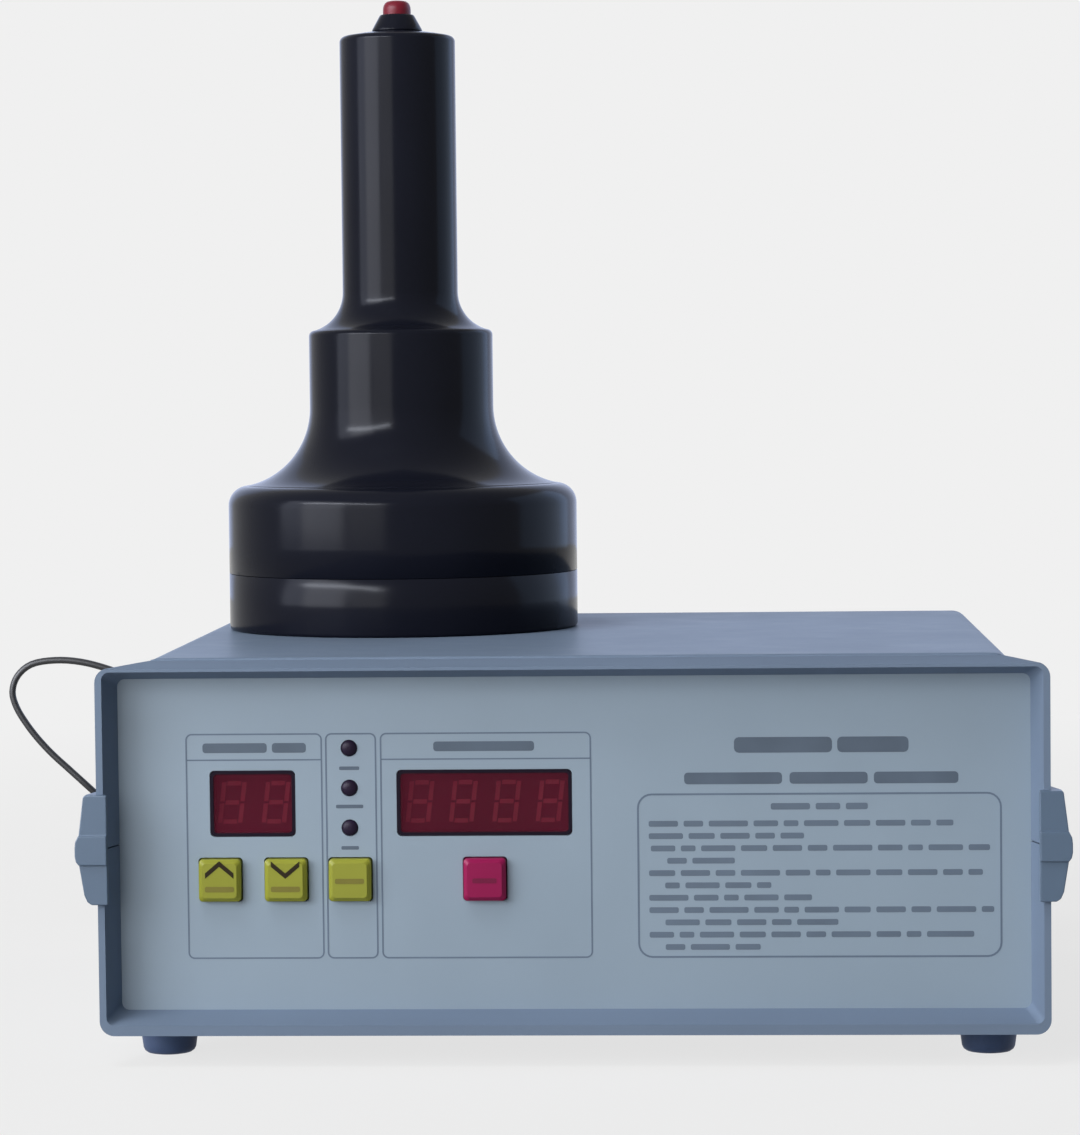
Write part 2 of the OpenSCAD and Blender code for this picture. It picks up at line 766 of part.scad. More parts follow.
module rear_panel() {
    color("lightsteelblue") difference() {
        along_y(rear_y - rear_t, rear_y)
            section(inner_x + groove_lap - panel_clear, floor_z - groove_lap + panel_clear,
                roof_z + groove_lap - panel_clear, inner_r);
        on_rear(fan_x, fan_z) {
            through_rear() circle(fan_hole_r);
            at_corners(fan_screw_x, fan_screw_x) through_rear() circle(screw_r + fit);
        }
        on_rear(inlet_x, inlet_z) {
            through_rear() plate(inlet_w + 2 * fit, inlet_h + 2 * fit, 1);
            for (sx = [-1, 1]) translate([sx * inlet_ear_x, 0, 0]) through_rear() circle(screw_r + fit);
        }
        on_rear(inlet_x, switch_z) through_rear()
            square([switch_w + 2 * fit, switch_h + 2 * fit], center = true);
        on_rear(fuse_x, fuse_z) through_rear() circle(fuse_r + fit);
        on_rear(gland_x, gland_z) through_rear() circle(boot_r + fit);
    }
}

module through_rear() {
    translate([0, 0, -rear_t - cut]) linear_extrude(rear_t + 2 * cut) children();
}

// Fan frame behind the rear panel: a square duct with a motor plate on four struts
module fan_frame() {
    color("black") on_rear(fan_x, fan_z) translate([0, 0, -rear_t - fan_t]) {
        linear_extrude(fan_t) difference() {
            plate(fan_w, fan_w, 4);
            circle(fan_hole_r);
            for (sx = [-1, 1], sy = [-1, 1])
                translate([sx * fan_screw_x, sy * fan_screw_x]) circle(screw_r + fit);
        }
        translate([0, 0, fan_gap]) linear_extrude(fan_base_t - fan_gap) difference() {
            union() {
                circle(fan_hub_r);
                square([2 * fan_hole_r + 1, 4], center = true);
                square([4, 2 * fan_hole_r + 1], center = true);
            }
            circle(screw_r + fit / 2);
        }
    }
}

// Fan rotor: a hub with pitched blades on a shaft that runs in the motor plate
module fan_rotor() {
    hub_h = fan_t - fan_base_t - 2;
    color("dimgray") on_rear(fan_x, fan_z) translate([0, 0, fan_base_t + fan_gap - rear_t - fan_t]) {
        cylinder(h = hub_h, r = fan_hub_r);
        translate([0, 0, -fan_base_t]) cylinder(h = fan_base_t + touch, r = screw_r);
        intersection() {
            for (a = [0 : 360 / 7 : 359]) rotate(a) translate([0, 0, hub_h / 2]) rotate([38, 0, 0])
                translate([fan_hub_r - 2, -10, -0.8]) cube([fan_hole_r, 20, 1.6]);
            translate([0, 0, 0.6]) cylinder(h = hub_h - 1.2, r = fan_tip_r);
        }
    }
}

// Wire guard over the fan opening: rings on two crossed bars, with an eye at each screw
module fan_guard() {
    color("silver") on_rear(fan_x, fan_z) {
        for (i = [1 : 4]) translate([0, 0, 3 * guard_wire]) rotate_extrude()
            translate([i * fan_hole_r / 4.2, 0]) circle(guard_wire, $fn = 24);
        for (a = [45, 135]) rotate(a) translate([-guard_bar, 0, guard_wire + touch]) rotate([0, 90, 0])
            cylinder(h = 2 * guard_bar, r = guard_wire, $fn = 24);
        at_corners(fan_screw_x, fan_screw_x) difference() {
            cylinder(h = guard_eye_h, r = screw_r + 2.4);
            translate([0, 0, -cut]) cylinder(h = guard_eye_h + 2 * cut, r = screw_r + fit);
        }
    }
}

module panel_screws() {
    color("silver") {
        on_rear(fan_x, fan_z) at_corners(fan_screw_x, fan_screw_x)
            translate([0, 0, guard_eye_h]) screw(screw_r, rear_t + fan_screw_past);
        on_rear(inlet_x, inlet_z) for (sx = [-1, 1]) translate([sx * inlet_ear_x, 0, inlet_flange_t])
            screw(screw_r, rear_t + ear_screw_past);
    }
}

// Three-pin appliance inlet: a flange with ears, and a socket behind it
module power_inlet() {
    color("black") on_rear(inlet_x, inlet_z) difference() {
        union() {
            linear_extrude(inlet_flange_t) difference() {
                plate(2 * inlet_ear_x + 9, inlet_h + 4, 4);
                for (sx = [-1, 1]) translate([sx * inlet_ear_x, 0]) circle(screw_r + fit);
            }
            translate([0, 0, -inlet_depth]) linear_extrude(inlet_depth + touch) plate(inlet_w, inlet_h, 1);
        }
        translate([0, 0, 2 - inlet_depth])
            linear_extrude(inlet_depth + inlet_flange_t) plate(inlet_w - 3, inlet_h - 3, 2);
    }
}

module inlet_pins() {
    color("silver") on_rear(inlet_x, inlet_z) for (p = [[-7, 2], [7, 2], [0, -2]])
        translate([p[0], p[1], 2 - inlet_depth])
            linear_extrude(inlet_depth - 4) square([2, 4], center = true);
}

// Rocker switch: a rimmed housing and a rocker that tips about X
module switch_housing() {
    color("black") on_rear(inlet_x, switch_z) difference() {
        union() {
            linear_extrude(switch_rim) plate(switch_w + 4, switch_h + 4, 1);
            translate([0, 0, -switch_depth])
                linear_extrude(switch_depth + touch) square([switch_w, switch_h], center = true);
        }
        translate([0, 0, -rocker_r - 1]) linear_extrude(rocker_r + switch_rim + 2)
            square([rocker_w + 2 * rocker_clear, 2 * (rocker_r + rocker_clear)], center = true);
    }
}

module switch_rocker() {
    color("firebrick") on_rear(inlet_x, switch_z) rotate([switch_angle / 2, 0, 0])
        rotate([90, 0, 90]) translate([0, 0, -rocker_w / 2]) linear_extrude(rocker_w) intersection() {
            circle(rocker_r);
            polygon([[-rocker_r, -4], [rocker_r, -4], [rocker_r, 4.2], [0, 2.2], [-rocker_r, 4.2]]);
        }
}

// Fuse holder: a barrel through the panel and a slotted cap that turns out
module fuse_holder() {
    color("black") on_rear(fuse_x, fuse_z) difference() {
        union() {
            cylinder(h = fuse_rim, r = fuse_r + fuse_rim);
            translate([0, 0, -fuse_len]) cylinder(h = fuse_len + touch, r = fuse_r);
        }
        translate([0, 0, -fuse_bore]) cylinder(h = fuse_bore + fuse_rim + cut, r = fuse_r - fuse_wall);
    }
}

module fuse_cap() {
    color("dimgray") on_rear(fuse_x, fuse_z) difference() {
        union() {
            translate([0, 0, fuse_rim + fit]) cylinder(h = fuse_cap_t, r = fuse_r + fuse_rim / 2);
            translate([0, 0, -fuse_cap_len])
                cylinder(h = fuse_cap_len + fuse_rim + 2 * fit, r = fuse_r - fuse_wall - 2 * fit);
        }
        translate([0, 0, fuse_rim + fit + fuse_cap_t])
            cube([2 * fuse_r, fuse_slot, 2 * fuse_slot], center = true);
    }
}

// A tapered strain relief round the axis, with its wall's outer face at Z = 0 and its tip face round the cord
module boot(inside, outside) {
    rotate_extrude() polygon([
        [0, -inside], [boot_r, -inside], [boot_r, touch], [boot_r + 1.5, touch], [boot_r + 1.5, 3],
        [boot_r, 4], [cord_r + 0.9, outside], [0, outside]
    ]);
}

module case_gland() {
    color("black") on_rear(gland_x, gland_z) boot(rear_t + 6, LOOP[len(LOOP) - 1][1] - rear_y);
}

module gland_nut() {
    color("black") on_rear(gland_x, gland_z) translate([0, 0, -rear_t - 4]) linear_extrude(4) difference() {
        circle(boot_r + 3, $fn = 6);
        circle(boot_r + fit);
    }
}

// Sealing head

// Outside of the head as half a section: drum, shoulder, hollow sweep, collar, hollow sweep, handle
module head_outline() {
    square([base_r - shoulder_r, shoulder_z]);
    square([base_r, shoulder_z - shoulder_r]);
    translate([base_r - shoulder_r, shoulder_z - shoulder_r]) circle(shoulder_r);
    difference() {
        square([base_r - shoulder_r, sweep_z]);
        translate([sweep_x, sweep_z]) circle(sweep_r);
    }
    square([collar_r, collar_z - collar_edge]);
    square([collar_r - collar_edge, collar_z]);
    translate([collar_r - collar_edge, collar_z - collar_edge]) circle(collar_edge);
    difference() {
        square([collar_r - collar_edge, handle_sweep_z]);
        translate([handle_sweep_x, handle_sweep_z]) circle(handle_sweep);
    }
    square([handle_r, handle_top - handle_edge]);
    square([handle_r - handle_edge, handle_top]);
    translate([handle_r - handle_edge, handle_top - handle_edge]) circle(handle_edge);
    polygon([
        [0, collar_z], [handle_r - handle_edge, collar_z], [handle_r - handle_edge, handle_top],
        [bezel_low_r, handle_z], [0, handle_z]
    ]);
}

// Hollow of the head as half a section, a wall inside the outline
module head_hollow() {
    square([base_r - shoulder_r, shoulder_z - head_wall]);
    square([base_r - head_wall, shoulder_z - shoulder_r]);
    difference() {
        square([base_r - shoulder_r, sweep_z]);
        translate([sweep_x, sweep_z]) circle(sweep_r + head_wall);
    }
    square([collar_r - head_wall, collar_z - head_wall]);
    square([handle_r - head_wall, handle_top - head_wall]);
}

module head_housing() {
    color([0.08, 0.09, 0.14]) on_head() difference() {
        rotate_extrude() difference() {
            head_outline();
            head_hollow();
            translate([-cut, -cut]) square([base_r + 2 * cut, cover_h + cut]);
        }
        translate([0, 0, handle_top - head_wall - cut])
            cylinder(h = head_wall + handle_crown + 2 * cut, r = bezel_shank_r + fit);
        translate([0, base_r - 2 * head_wall, boot_z]) rotate([-90, 0, 0])
            cylinder(h = 3 * head_wall, r = boot_r + fit);
    }
}

// Coil cover: a cup under the drum, with a lip that registers inside it
module head_cover() {
    top = cover_h - head_gap;
    color([0.08, 0.09, 0.14]) on_head() rotate_extrude() polygon([
        [0, 0], [base_r - 1, 0], [base_r, 1], [base_r, top], [base_r - head_wall - 2 * fit, top],
        [base_r - head_wall - 2 * fit, cover_h + cover_lip_h], [cover_in_r, cover_h + cover_lip_h],
        [cover_in_r, cover_floor], [0, cover_floor]
    ]);
}

module induction_coil() {
    color("peru") on_head() translate([0, 0, cover_floor]) linear_extrude(coil_t) difference() {
        circle(coil_out_r);
        circle(coil_in_r);
    }
}

module coil_former() {
    color("ivory") on_head() translate([0, 0, cover_floor + coil_t]) linear_extrude(former_t) difference() {
        circle(cover_in_r - fit);
        circle(coil_in_r);
    }
}

module ferrite_bars() {
    color("dimgray") on_head() translate([0, 0, cover_floor + coil_t + former_t])
        for (a = [30 : 60 : 330]) rotate(a)
            translate([coil_in_r + 2, -5, 0]) cube([coil_out_r - coil_in_r - 4, 10, ferrite_t]);
}

// Bezel screwed into the handle's end, with a well for the trigger button
module trigger_bezel() {
    color("black") on_head() translate([0, 0, handle_z]) difference() {
        union() {
            cylinder(h = bezel_h, r1 = bezel_low_r, r2 = bezel_top_r);
            translate([0, 0, -bezel_shank_h]) cylinder(h = bezel_shank_h + touch, r = bezel_shank_r);
        }
        translate([0, 0, -well_h]) cylinder(h = well_h + bezel_h + cut, r = trigger_r + trigger_clear);
        translate([0, 0, -bezel_shank_h - cut]) cylinder(h = bezel_shank_h, r = stem_r + trigger_clear);
    }
}

// A domed button: a plain barrel, two slopes that round it off, and a stem over the switch
module trigger_button() {
    low = trigger_travel + 1 - well_h;
    color("crimson") on_head() translate([0, 0, handle_z]) {
        translate([0, 0, low]) cylinder(h = dome_z - low, r = trigger_r);
        translate([0, 0, dome_z]) cylinder(h = 0.65 * dome_h, r1 = trigger_r, r2 = 0.86 * trigger_r);
        translate([0, 0, dome_z + 0.65 * dome_h])
            cylinder(h = 0.35 * dome_h, r1 = 0.86 * trigger_r, r2 = 0.5 * trigger_r);
        translate([0, 0, -bezel_shank_h - 0.5]) cylinder(h = bezel_shank_h + low + 0.5 + touch, r = stem_r);
    }
}

module trigger_switch() {
    color("dimgray") on_head()
        translate([0, 0, handle_z - bezel_shank_h - 0.5 - trigger_travel - fit - trigger_switch_h])
            intersection() {
                cylinder(h = trigger_switch_h, r = handle_r - head_wall - fit);
                translate([-trigger_switch_w / 2, -handle_r, 0])
                    cube([trigger_switch_w, 2 * handle_r, trigger_switch_h]);
            }
}

module head_gland() {
    color("black") on_head() translate([0, base_r, boot_z]) rotate([-90, 0, 0]) boot(head_wall + 4, boot_len);
}

// Cord: tubes swept along the two routes, and the outer shape of the coil between them

function unit(v) = v / norm(v);
function across(t, v) = unit(v - (v * t) * t);

// Point between two route points, on the curve that passes through all of them
function bend(p, i, u) =
    let (a = p[max(i - 1, 0)], b = p[i], c = p[i + 1], d = p[min(i + 2, len(p) - 1)])
    0.5 * (2 * b + (c - a) * u + (2 * a - 5 * b + 4 * c - d) * u * u + (3 * b - a - 3 * c + d) * u * u * u);

function smooth(p, steps) = [
    for (i = [0 : len(p) - 2], s = [0 : steps - 1]) bend(p, i, s / steps),
    p[len(p) - 1]
];

function tangents(p) = [
    for (i = [0 : len(p) - 1]) unit(p[min(i + 1, len(p) - 1)] - p[max(i - 1, 0)])
];

// Normals carried along the route without twist
function normals(t, first) = [
    for (i = 0, n = across(t[0], first); i < len(t); i = i + 1, n = i < len(t) ? across(t[i], n) : n) n
];

module tube(route, steps, r, sides) {
    p = smooth(route, steps);
    t = tangents(p);
    n = normals(t, [1, 0.2, 0.1]);
    rings = len(p);
    points = [
        for (i = [0 : rings - 1], k = [0 : sides - 1])
            p[i] + r * (cos(360 * k / sides) * n[i] + sin(360 * k / sides) * cross(t[i], n[i]))
    ];
    polyhedron(points, concat(
        [[for (k = [0 : sides - 1]) k]],
        [[for (k = [sides - 1 : -1 : 0]) (rings - 1) * sides + k]],
        [
            for (i = [0 : rings - 2], k = [0 : sides - 1])
                let (next = (k + 1) % sides)
                    [i * sides + k, (i + 1) * sides + k, (i + 1) * sides + next, i * sides + next]
        ]
    ));
}

module cord_drop() {
    color("black") tube(DROP, 2, cord_r, 8);
}

module cord_loop() {
    color("black") tube(LOOP, 2, cord_r, 8);
}

module cord_coil() {
    stack = coil_turns * coil_pitch + 2 * cord_r;
    color("black") translate([coil_x, coil_y, 0]) rotate_extrude()
        translate([coil_r, stack / 2]) plate(2 * cord_r, stack, cord_r - touch);
}

upper_shell();
lower_shell();
front_panel();
rear_panel();
clip(-1, -1, lip_x, flare_slope);  // clip_front_left
clip(1, -1, lip_x, flare_slope);  // clip_front_right
clip(-1, 1, side_x, 0);  // clip_rear_left
clip(1, 1, side_x, 0);  // clip_rear_right
foot(-1, -1);  // foot_front_left
foot(1, -1);  // foot_front_right
foot(-1, 1);  // foot_rear_left
foot(1, 1);  // foot_rear_right
case_screws();
window(time_x, time_window_w);  // time_window
window(count_x, count_window_w);  // count_window
display(time_x, time_window_w);  // time_display
display(count_x, count_window_w);  // count_display
lamp(0);  // lamp_high
lamp(1);  // lamp_middle
lamp(2);  // lamp_low
key(0, "khaki");  // key_up
key(1, "khaki");  // key_down
key(2, "khaki");  // key_power
key(3, "crimson");  // key_reset
key_switches();
control_board();
board_screws();
power_board();
heat_sink();
smoothing_capacitors();
tuning_capacitor();
transformer_core();
transformer_winding();
fan_frame();
fan_rotor();
fan_guard();
panel_screws();
power_inlet();
inlet_pins();
switch_housing();
switch_rocker();
fuse_holder();
fuse_cap();
case_gland();
gland_nut();
head_housing();
head_cover();
coil_former();
induction_coil();
ferrite_bars();
trigger_bezel();
trigger_button();
trigger_switch();
head_gland();
cord_drop();
cord_coil();
cord_loop();
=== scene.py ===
import bpy
import bmesh
import math
from mathutils import Matrix, Vector


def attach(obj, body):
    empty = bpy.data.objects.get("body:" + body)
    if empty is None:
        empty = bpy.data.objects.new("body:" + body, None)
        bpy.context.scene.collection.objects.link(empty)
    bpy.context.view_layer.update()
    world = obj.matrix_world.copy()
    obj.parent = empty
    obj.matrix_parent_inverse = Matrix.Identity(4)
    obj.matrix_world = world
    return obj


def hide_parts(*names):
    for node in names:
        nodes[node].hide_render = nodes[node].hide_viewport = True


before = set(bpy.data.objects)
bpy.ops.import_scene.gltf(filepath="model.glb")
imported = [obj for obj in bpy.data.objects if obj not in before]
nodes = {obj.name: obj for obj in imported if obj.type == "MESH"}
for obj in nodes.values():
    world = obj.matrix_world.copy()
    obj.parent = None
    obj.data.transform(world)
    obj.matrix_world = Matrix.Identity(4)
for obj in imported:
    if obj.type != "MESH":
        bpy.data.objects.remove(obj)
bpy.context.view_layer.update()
scene = bpy.context.scene
scene.view_settings.view_transform = "Standard"
# Shapes are written in millimetres, and the camera and the lights in metres
MM = 0.001


# Camera, fitted to the photo, with its angles in radians

PHOTO_HEIGHT_PX = 1135
FOCAL_PX = 3732.34
SENSOR = 36
CAMERA_PLACE = (0.048707, -1.256971, 0.206936)
YAW, PITCH, ROLL = 0.050708, 0.048027, 0.010547
CLIP_START, CLIP_END = 0.05, 60


def add_camera():
    right = Vector((math.cos(YAW), math.sin(YAW), 0))
    ahead = Vector((-math.sin(YAW) * math.cos(PITCH), math.cos(YAW) * math.cos(PITCH), -math.sin(PITCH)))
    up = right.cross(ahead)
    x = math.cos(ROLL) * right - math.sin(ROLL) * up
    y = math.sin(ROLL) * right + math.cos(ROLL) * up
    cam = bpy.data.objects.new("camera", bpy.data.cameras.new("camera"))
    cam.data.sensor_width = SENSOR
    cam.data.lens = FOCAL_PX * SENSOR / PHOTO_HEIGHT_PX
    cam.data.clip_start = CLIP_START
    cam.data.clip_end = CLIP_END
    turn = Matrix((x, y, -ahead)).transposed().to_4x4()
    cam.matrix_world = Matrix.Translation(CAMERA_PLACE) @ turn
    scene.collection.objects.link(cam)
    scene.camera = cam


add_camera()


# Materials

GRAIN_DEPTH = 0.2 * MM
LEAST_ROUGH = 0.02
# The edge across the case top where the front lip begins, and the lip's duller finish
BROW_Y = -98
BROW_FADE = 0.6
LIP_ROUGH = 0.7


def lin(r, g, b):
    """Linear colour of an sRGB colour given in 0 to 255."""
    def one(v):
        v = v / 255
        return v / 12.92 if v <= 0.04045 else ((v + 0.055) / 1.055) ** 2.4
    return (one(r), one(g), one(b), 1)


def shade(color, k):
    return tuple(min(1, c * k) for c in color[:3]) + (1,)


def noise(tree, coords, scale, detail=3, rough=0.5):
    n = tree.nodes.new("ShaderNodeTexNoise")
    n.inputs["Scale"].default_value = scale
    n.inputs["Detail"].default_value = detail
    n.inputs["Roughness"].default_value = rough
    tree.links.new(coords, n.inputs["Vector"])
    return n.outputs["Fac"]


def spread(tree, value, low, high, start=0.3, end=0.7):
    """A value's stretch from start to end, mapped to low to high."""
    m = tree.nodes.new("ShaderNodeMapRange")
    m.inputs["From Min"].default_value = start
    m.inputs["From Max"].default_value = end
    m.inputs["To Min"].default_value = low
    m.inputs["To Max"].default_value = high
    tree.links.new(value, m.inputs["Value"])
    return m.outputs["Result"]


def material(name, color, rough=0.5, tone=0.05, tone_scale=14, smudge=0.06, smudge_scale=45,
             grain=0.0, grain_scale=1400, metal=0.0, spec=0.5, alpha=1.0):
    """A moulded or metal finish: cloudy tone, uneven gloss and a fine surface grain."""
    m = bpy.data.materials.new(name)
    m.use_nodes = True
    tree = m.node_tree
    p = tree.nodes["Principled BSDF"]
    coords = tree.nodes.new("ShaderNodeTexCoord").outputs["Object"]
    mix = tree.nodes.new("ShaderNodeMix")
    mix.data_type = "RGBA"
    mix.inputs["A"].default_value = shade(color, 1 - tone)
    mix.inputs["B"].default_value = shade(color, 1 + tone)
    tree.links.new(spread(tree, noise(tree, coords, tone_scale), 0, 1), mix.inputs["Factor"])
    tree.links.new(mix.outputs["Result"], p.inputs["Base Color"])
    uneven = noise(tree, coords, smudge_scale, 4, 0.6)
    gloss = spread(tree, uneven, max(LEAST_ROUGH, rough - smudge), rough + smudge)
    tree.links.new(gloss, p.inputs["Roughness"])
    p.inputs["Metallic"].default_value = metal
    p.inputs["Specular IOR Level"].default_value = spec
    p.inputs["Alpha"].default_value = alpha
    if grain:
        bump = tree.nodes.new("ShaderNodeBump")
        bump.inputs["Strength"].default_value = grain
        bump.inputs["Distance"].default_value = GRAIN_DEPTH
        tree.links.new(noise(tree, coords, grain_scale, 2, 0.5), bump.inputs["Height"])
        tree.links.new(bump.outputs["Normal"], p.inputs["Normal"])
    return m


def dull_front(m):
    """Gives the shells a dull finish in front of the brow, as on a separately textured lip."""
    tree = m.node_tree
    p = tree.nodes["Principled BSDF"]
    gloss = p.inputs["Roughness"].links[0].from_socket
    axes = tree.nodes.new("ShaderNodeSeparateXYZ")
    tree.links.new(tree.nodes.new("ShaderNodeTexCoord").outputs["Object"], axes.inputs[0])
    mix = tree.nodes.new("ShaderNodeMix")
    mix.inputs["A"].default_value = LIP_ROUGH
    tree.links.new(gloss, mix.inputs["B"])
    behind = spread(tree, axes.outputs["Y"], 0, 1, BROW_Y * MM, (BROW_Y + BROW_FADE) * MM)
    tree.links.new(behind, mix.inputs["Factor"])
    tree.links.new(mix.outputs["Result"], p.inputs["Roughness"])
    return m


M = {
    "case": dull_front(material("case_plastic", lin(115, 131, 153), 0.4, tone=0.03, smudge=0.03,
                                grain=0.04, grain_scale=1700, spec=0.04)),
    "panel": material("panel_plastic", lin(137, 154, 170), 0.42, tone=0.04, tone_scale=9,
                      grain=0.03, grain_scale=2200),
    "clip": material("clip_plastic", lin(79, 99, 122), 0.44, grain=0.08, grain_scale=1700),
    "foot": material("foot_rubber", lin(65, 83, 118), 0.55, grain=0.2, grain_scale=1100, spec=0.3),
    "print": material("panel_ink", lin(82, 95, 111), 0.5, tone=0.1, tone_scale=60, spec=0.3),
    "text": material("panel_text", lin(94, 108, 125), 0.5, tone=0.08, tone_scale=60, spec=0.3),
    "line": material("panel_line", lin(96, 111, 130), 0.5, tone=0.08, tone_scale=60, spec=0.3),
    "window": material("window_acrylic", lin(98, 20, 44), 0.12, tone=0.08, tone_scale=30, smudge=0.04,
                       spec=0.15, alpha=0.45),
    # Painted shadow: the colour of the dark frame round each window, standing for the shade cast by the
    # cut-out's edge
    "painted_shadow": material("window_painted_shadow", lin(20, 11, 26), 0.4, tone=0.1, spec=0.08),
    "display": material("display_face", lin(80, 26, 42), 0.5, tone=0.1, tone_scale=80, spec=0.1),
    "segment": material("display_segment", lin(212, 92, 108), 0.5, tone=0.06, tone_scale=90, spec=0.1),
    "lamp": material("lamp_lens", lin(30, 19, 40), 0.45, tone=0.15, tone_scale=200, spec=0.12),
    "yellow": material("key_yellow", lin(142, 145, 50), 0.42, tone=0.05, tone_scale=40, grain=0.06,
                       spec=0.2),
    "mark": material("key_ink", lin(40, 32, 16), 0.6, tone=0.1, tone_scale=90, spec=0.1),
    "faint": material("key_ink_faint", lin(112, 106, 30), 0.5, tone=0.1, tone_scale=90, spec=0.3),
    "reset": material("key_pink", lin(140, 20, 74), 0.4, tone=0.06, tone_scale=40, grain=0.06, spec=0.15),
    "reset_mark": material("key_pink_ink", lin(112, 22, 60), 0.45, tone=0.08, tone_scale=90, spec=0.15),
    "head": material("head_plastic", lin(21, 23, 33), 0.17, tone=0.12, tone_scale=20, smudge=0.03,
                     smudge_scale=26, grain=0.012, grain_scale=300, spec=0.06),
    "black": material("black_plastic", lin(18, 19, 23), 0.4, tone=0.12, grain=0.12, grain_scale=1300,
                      spec=0.25),
    "red": material("trigger_red", lin(112, 26, 42), 0.35, tone=0.08, tone_scale=120, spec=0.15),
    "steel": material("plated_steel", lin(190, 192, 196), 0.26, tone=0.05, tone_scale=90, smudge=0.08,
                      metal=1.0),
    "aluminium": material("aluminium", lin(196, 198, 202), 0.34, tone=0.05, tone_scale=60, smudge=0.08,
                          metal=1.0),
    "copper": material("copper_wire", lin(176, 104, 62), 0.35, tone=0.15, tone_scale=240, metal=0.9),
    "ferrite": material("ferrite", lin(52, 52, 55), 0.6, tone=0.12, tone_scale=120, grain=0.2),
    "board": material("circuit_board", lin(28, 84, 54), 0.4, tone=0.1, tone_scale=90),
    "former": material("former_plate", lin(226, 218, 196), 0.55, tone=0.05, grain=0.1),
    "sleeve": material("capacitor_sleeve", lin(34, 44, 84), 0.3, tone=0.06),
    "amber": material("capacitor_case", lin(196, 146, 62), 0.45, tone=0.06, grain=0.1),
    "strap": material("strap_nylon", lin(34, 35, 40), 0.8, tone=0.2, tone_scale=700, grain=0.6,
                      grain_scale=2600, spec=0.2),
    "cord": material("cord_sheath", lin(24, 24, 27), 0.5, tone=0.1, tone_scale=120, grain=0.15,
                     grain_scale=900),
}

SHELLS = ["upper_shell", "lower_shell"]
PANELS = ["front_panel", "rear_panel"]
CLIPS = ["clip_front_left", "clip_front_right", "clip_rear_left", "clip_rear_right"]
YELLOW_KEYS = ["key_up", "key_down", "key_power"]
REAR_FITTINGS = ["fan_frame", "fan_rotor", "power_inlet", "switch_housing", "fuse_holder", "fuse_cap"]
PAINT = {
    "case": SHELLS,
    "panel": PANELS,
    "clip": CLIPS,
    "foot": ["foot_front_left", "foot_front_right", "foot_rear_left", "foot_rear_right"],
    "display": ["time_display", "count_display"],
    "window": ["time_window", "count_window"],
    "lamp": ["lamp_high", "lamp_middle", "lamp_low"],
    "yellow": YELLOW_KEYS,
    "reset": ["key_reset"],
    "board": ["control_board", "power_board"],
    "aluminium": ["heat_sink"],
    "sleeve": ["smoothing_capacitors"],
    "amber": ["tuning_capacitor"],
    "ferrite": ["transformer_core", "ferrite_bars"],
    "copper": ["transformer_winding", "induction_coil"],
    "former": ["coil_former"],
    "steel": ["fan_guard", "panel_screws", "inlet_pins", "case_screws", "board_screws"],
    "black": REAR_FITTINGS + ["gland_nut", "key_switches", "trigger_switch", "trigger_bezel"],
    "red": ["switch_rocker", "trigger_button"],
    "cord": ["case_gland", "head_gland", "cord_drop", "cord_coil", "cord_loop"],
    "head": ["head_housing", "head_cover"],
}
for key, names in PAINT.items():
    for n in names:
        slots = nodes[n].data.materials
        slots.clear()
        slots.append(M[key])


# Mesh helpers

WELD, WELD_SLIVERS = 0.004, 0.02
FLAT_DEG = 1
EDGE_SEGMENTS = 2
LEAST_CORNER = 0.001
BAR_CORNER_SHARE, BAR_CORNER_STEPS = 0.3, 3
AXIS_R = 1e-6


def add_mesh(name, bm, mat, body="unit", smooth=False):
    me = bpy.data.meshes.new(name)
    bmesh.ops.recalc_face_normals(bm, faces=bm.faces[:])
    bm.to_mesh(me)
    bm.free()
    if smooth:
        me.shade_smooth()
    me.materials.append(M[mat])
    o = bpy.data.objects.new(name, me)
    scene.collection.objects.link(o)
    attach(o, body)
    return o


def soften(o, width, angle=30, slivers=False):
    """Rounds the sharp edges of a piece and shades it smooth, and first joins slivers where it has them."""
    w = o.modifiers.new("weld", "WELD")
    w.merge_threshold = (WELD_SLIVERS if slivers else WELD) * MM
    if slivers:
        d = o.modifiers.new("flat", "DECIMATE")
        d.decimate_type = "DISSOLVE"
        d.angle_limit = math.radians(FLAT_DEG)
    b = o.modifiers.new("edge", "BEVEL")
    b.width = width * MM
    b.segments = EDGE_SEGMENTS
    b.limit_method = "ANGLE"
    b.angle_limit = math.radians(angle)
    b.harden_normals = False
    b.use_clamp_overlap = not slivers
    s = o.modifiers.new("smooth", "WEIGHTED_NORMAL")
    s.keep_sharp = True


def arc(cx, cz, r, start, end, steps):
    """Points of an arc between two angles in degrees."""
    angles = [math.radians(start + (end - start) * i / steps) for i in range(steps + 1)]
    return [(cx + r * math.cos(a), cz + r * math.sin(a)) for a in angles]


def round_rect(cx, cz, w, h, r, steps=6):
    """Corner points of a rounded rectangle, anticlockwise in X and Z."""
    r = max(r, LEAST_CORNER)
    pts = []
    for k, (sx, sz) in enumerate([(1, 1), (-1, 1), (-1, -1), (1, -1)]):
        pts += arc(cx + sx * (w / 2 - r), cz + sz * (h / 2 - r), r, 90 * k, 90 * k + 90, steps)
    return pts


def bridge(bm, a, b):
    """Closes the band between two loops with the same number of points."""
    for i in range(len(a)):
        j = (i + 1) % len(a)
        bm.faces.new((a[i], a[j], b[j], b[i]))


def close_slab(bm, a, b):
    """Makes a solid of two like loops: a cap on each and the band between them."""
    bm.faces.new(a)
    bm.faces.new(b[::-1])
    bridge(bm, b, a)


def close_ring(bm, loops):
    """Makes a frame of four like loops, in their order round its section."""
    for k in range(4):
        bridge(bm, loops[k], loops[(k + 1) % 4])


def upright_loop(bm, pts, y):
    return [bm.verts.new((x * MM, y * MM, z * MM)) for x, z in pts]


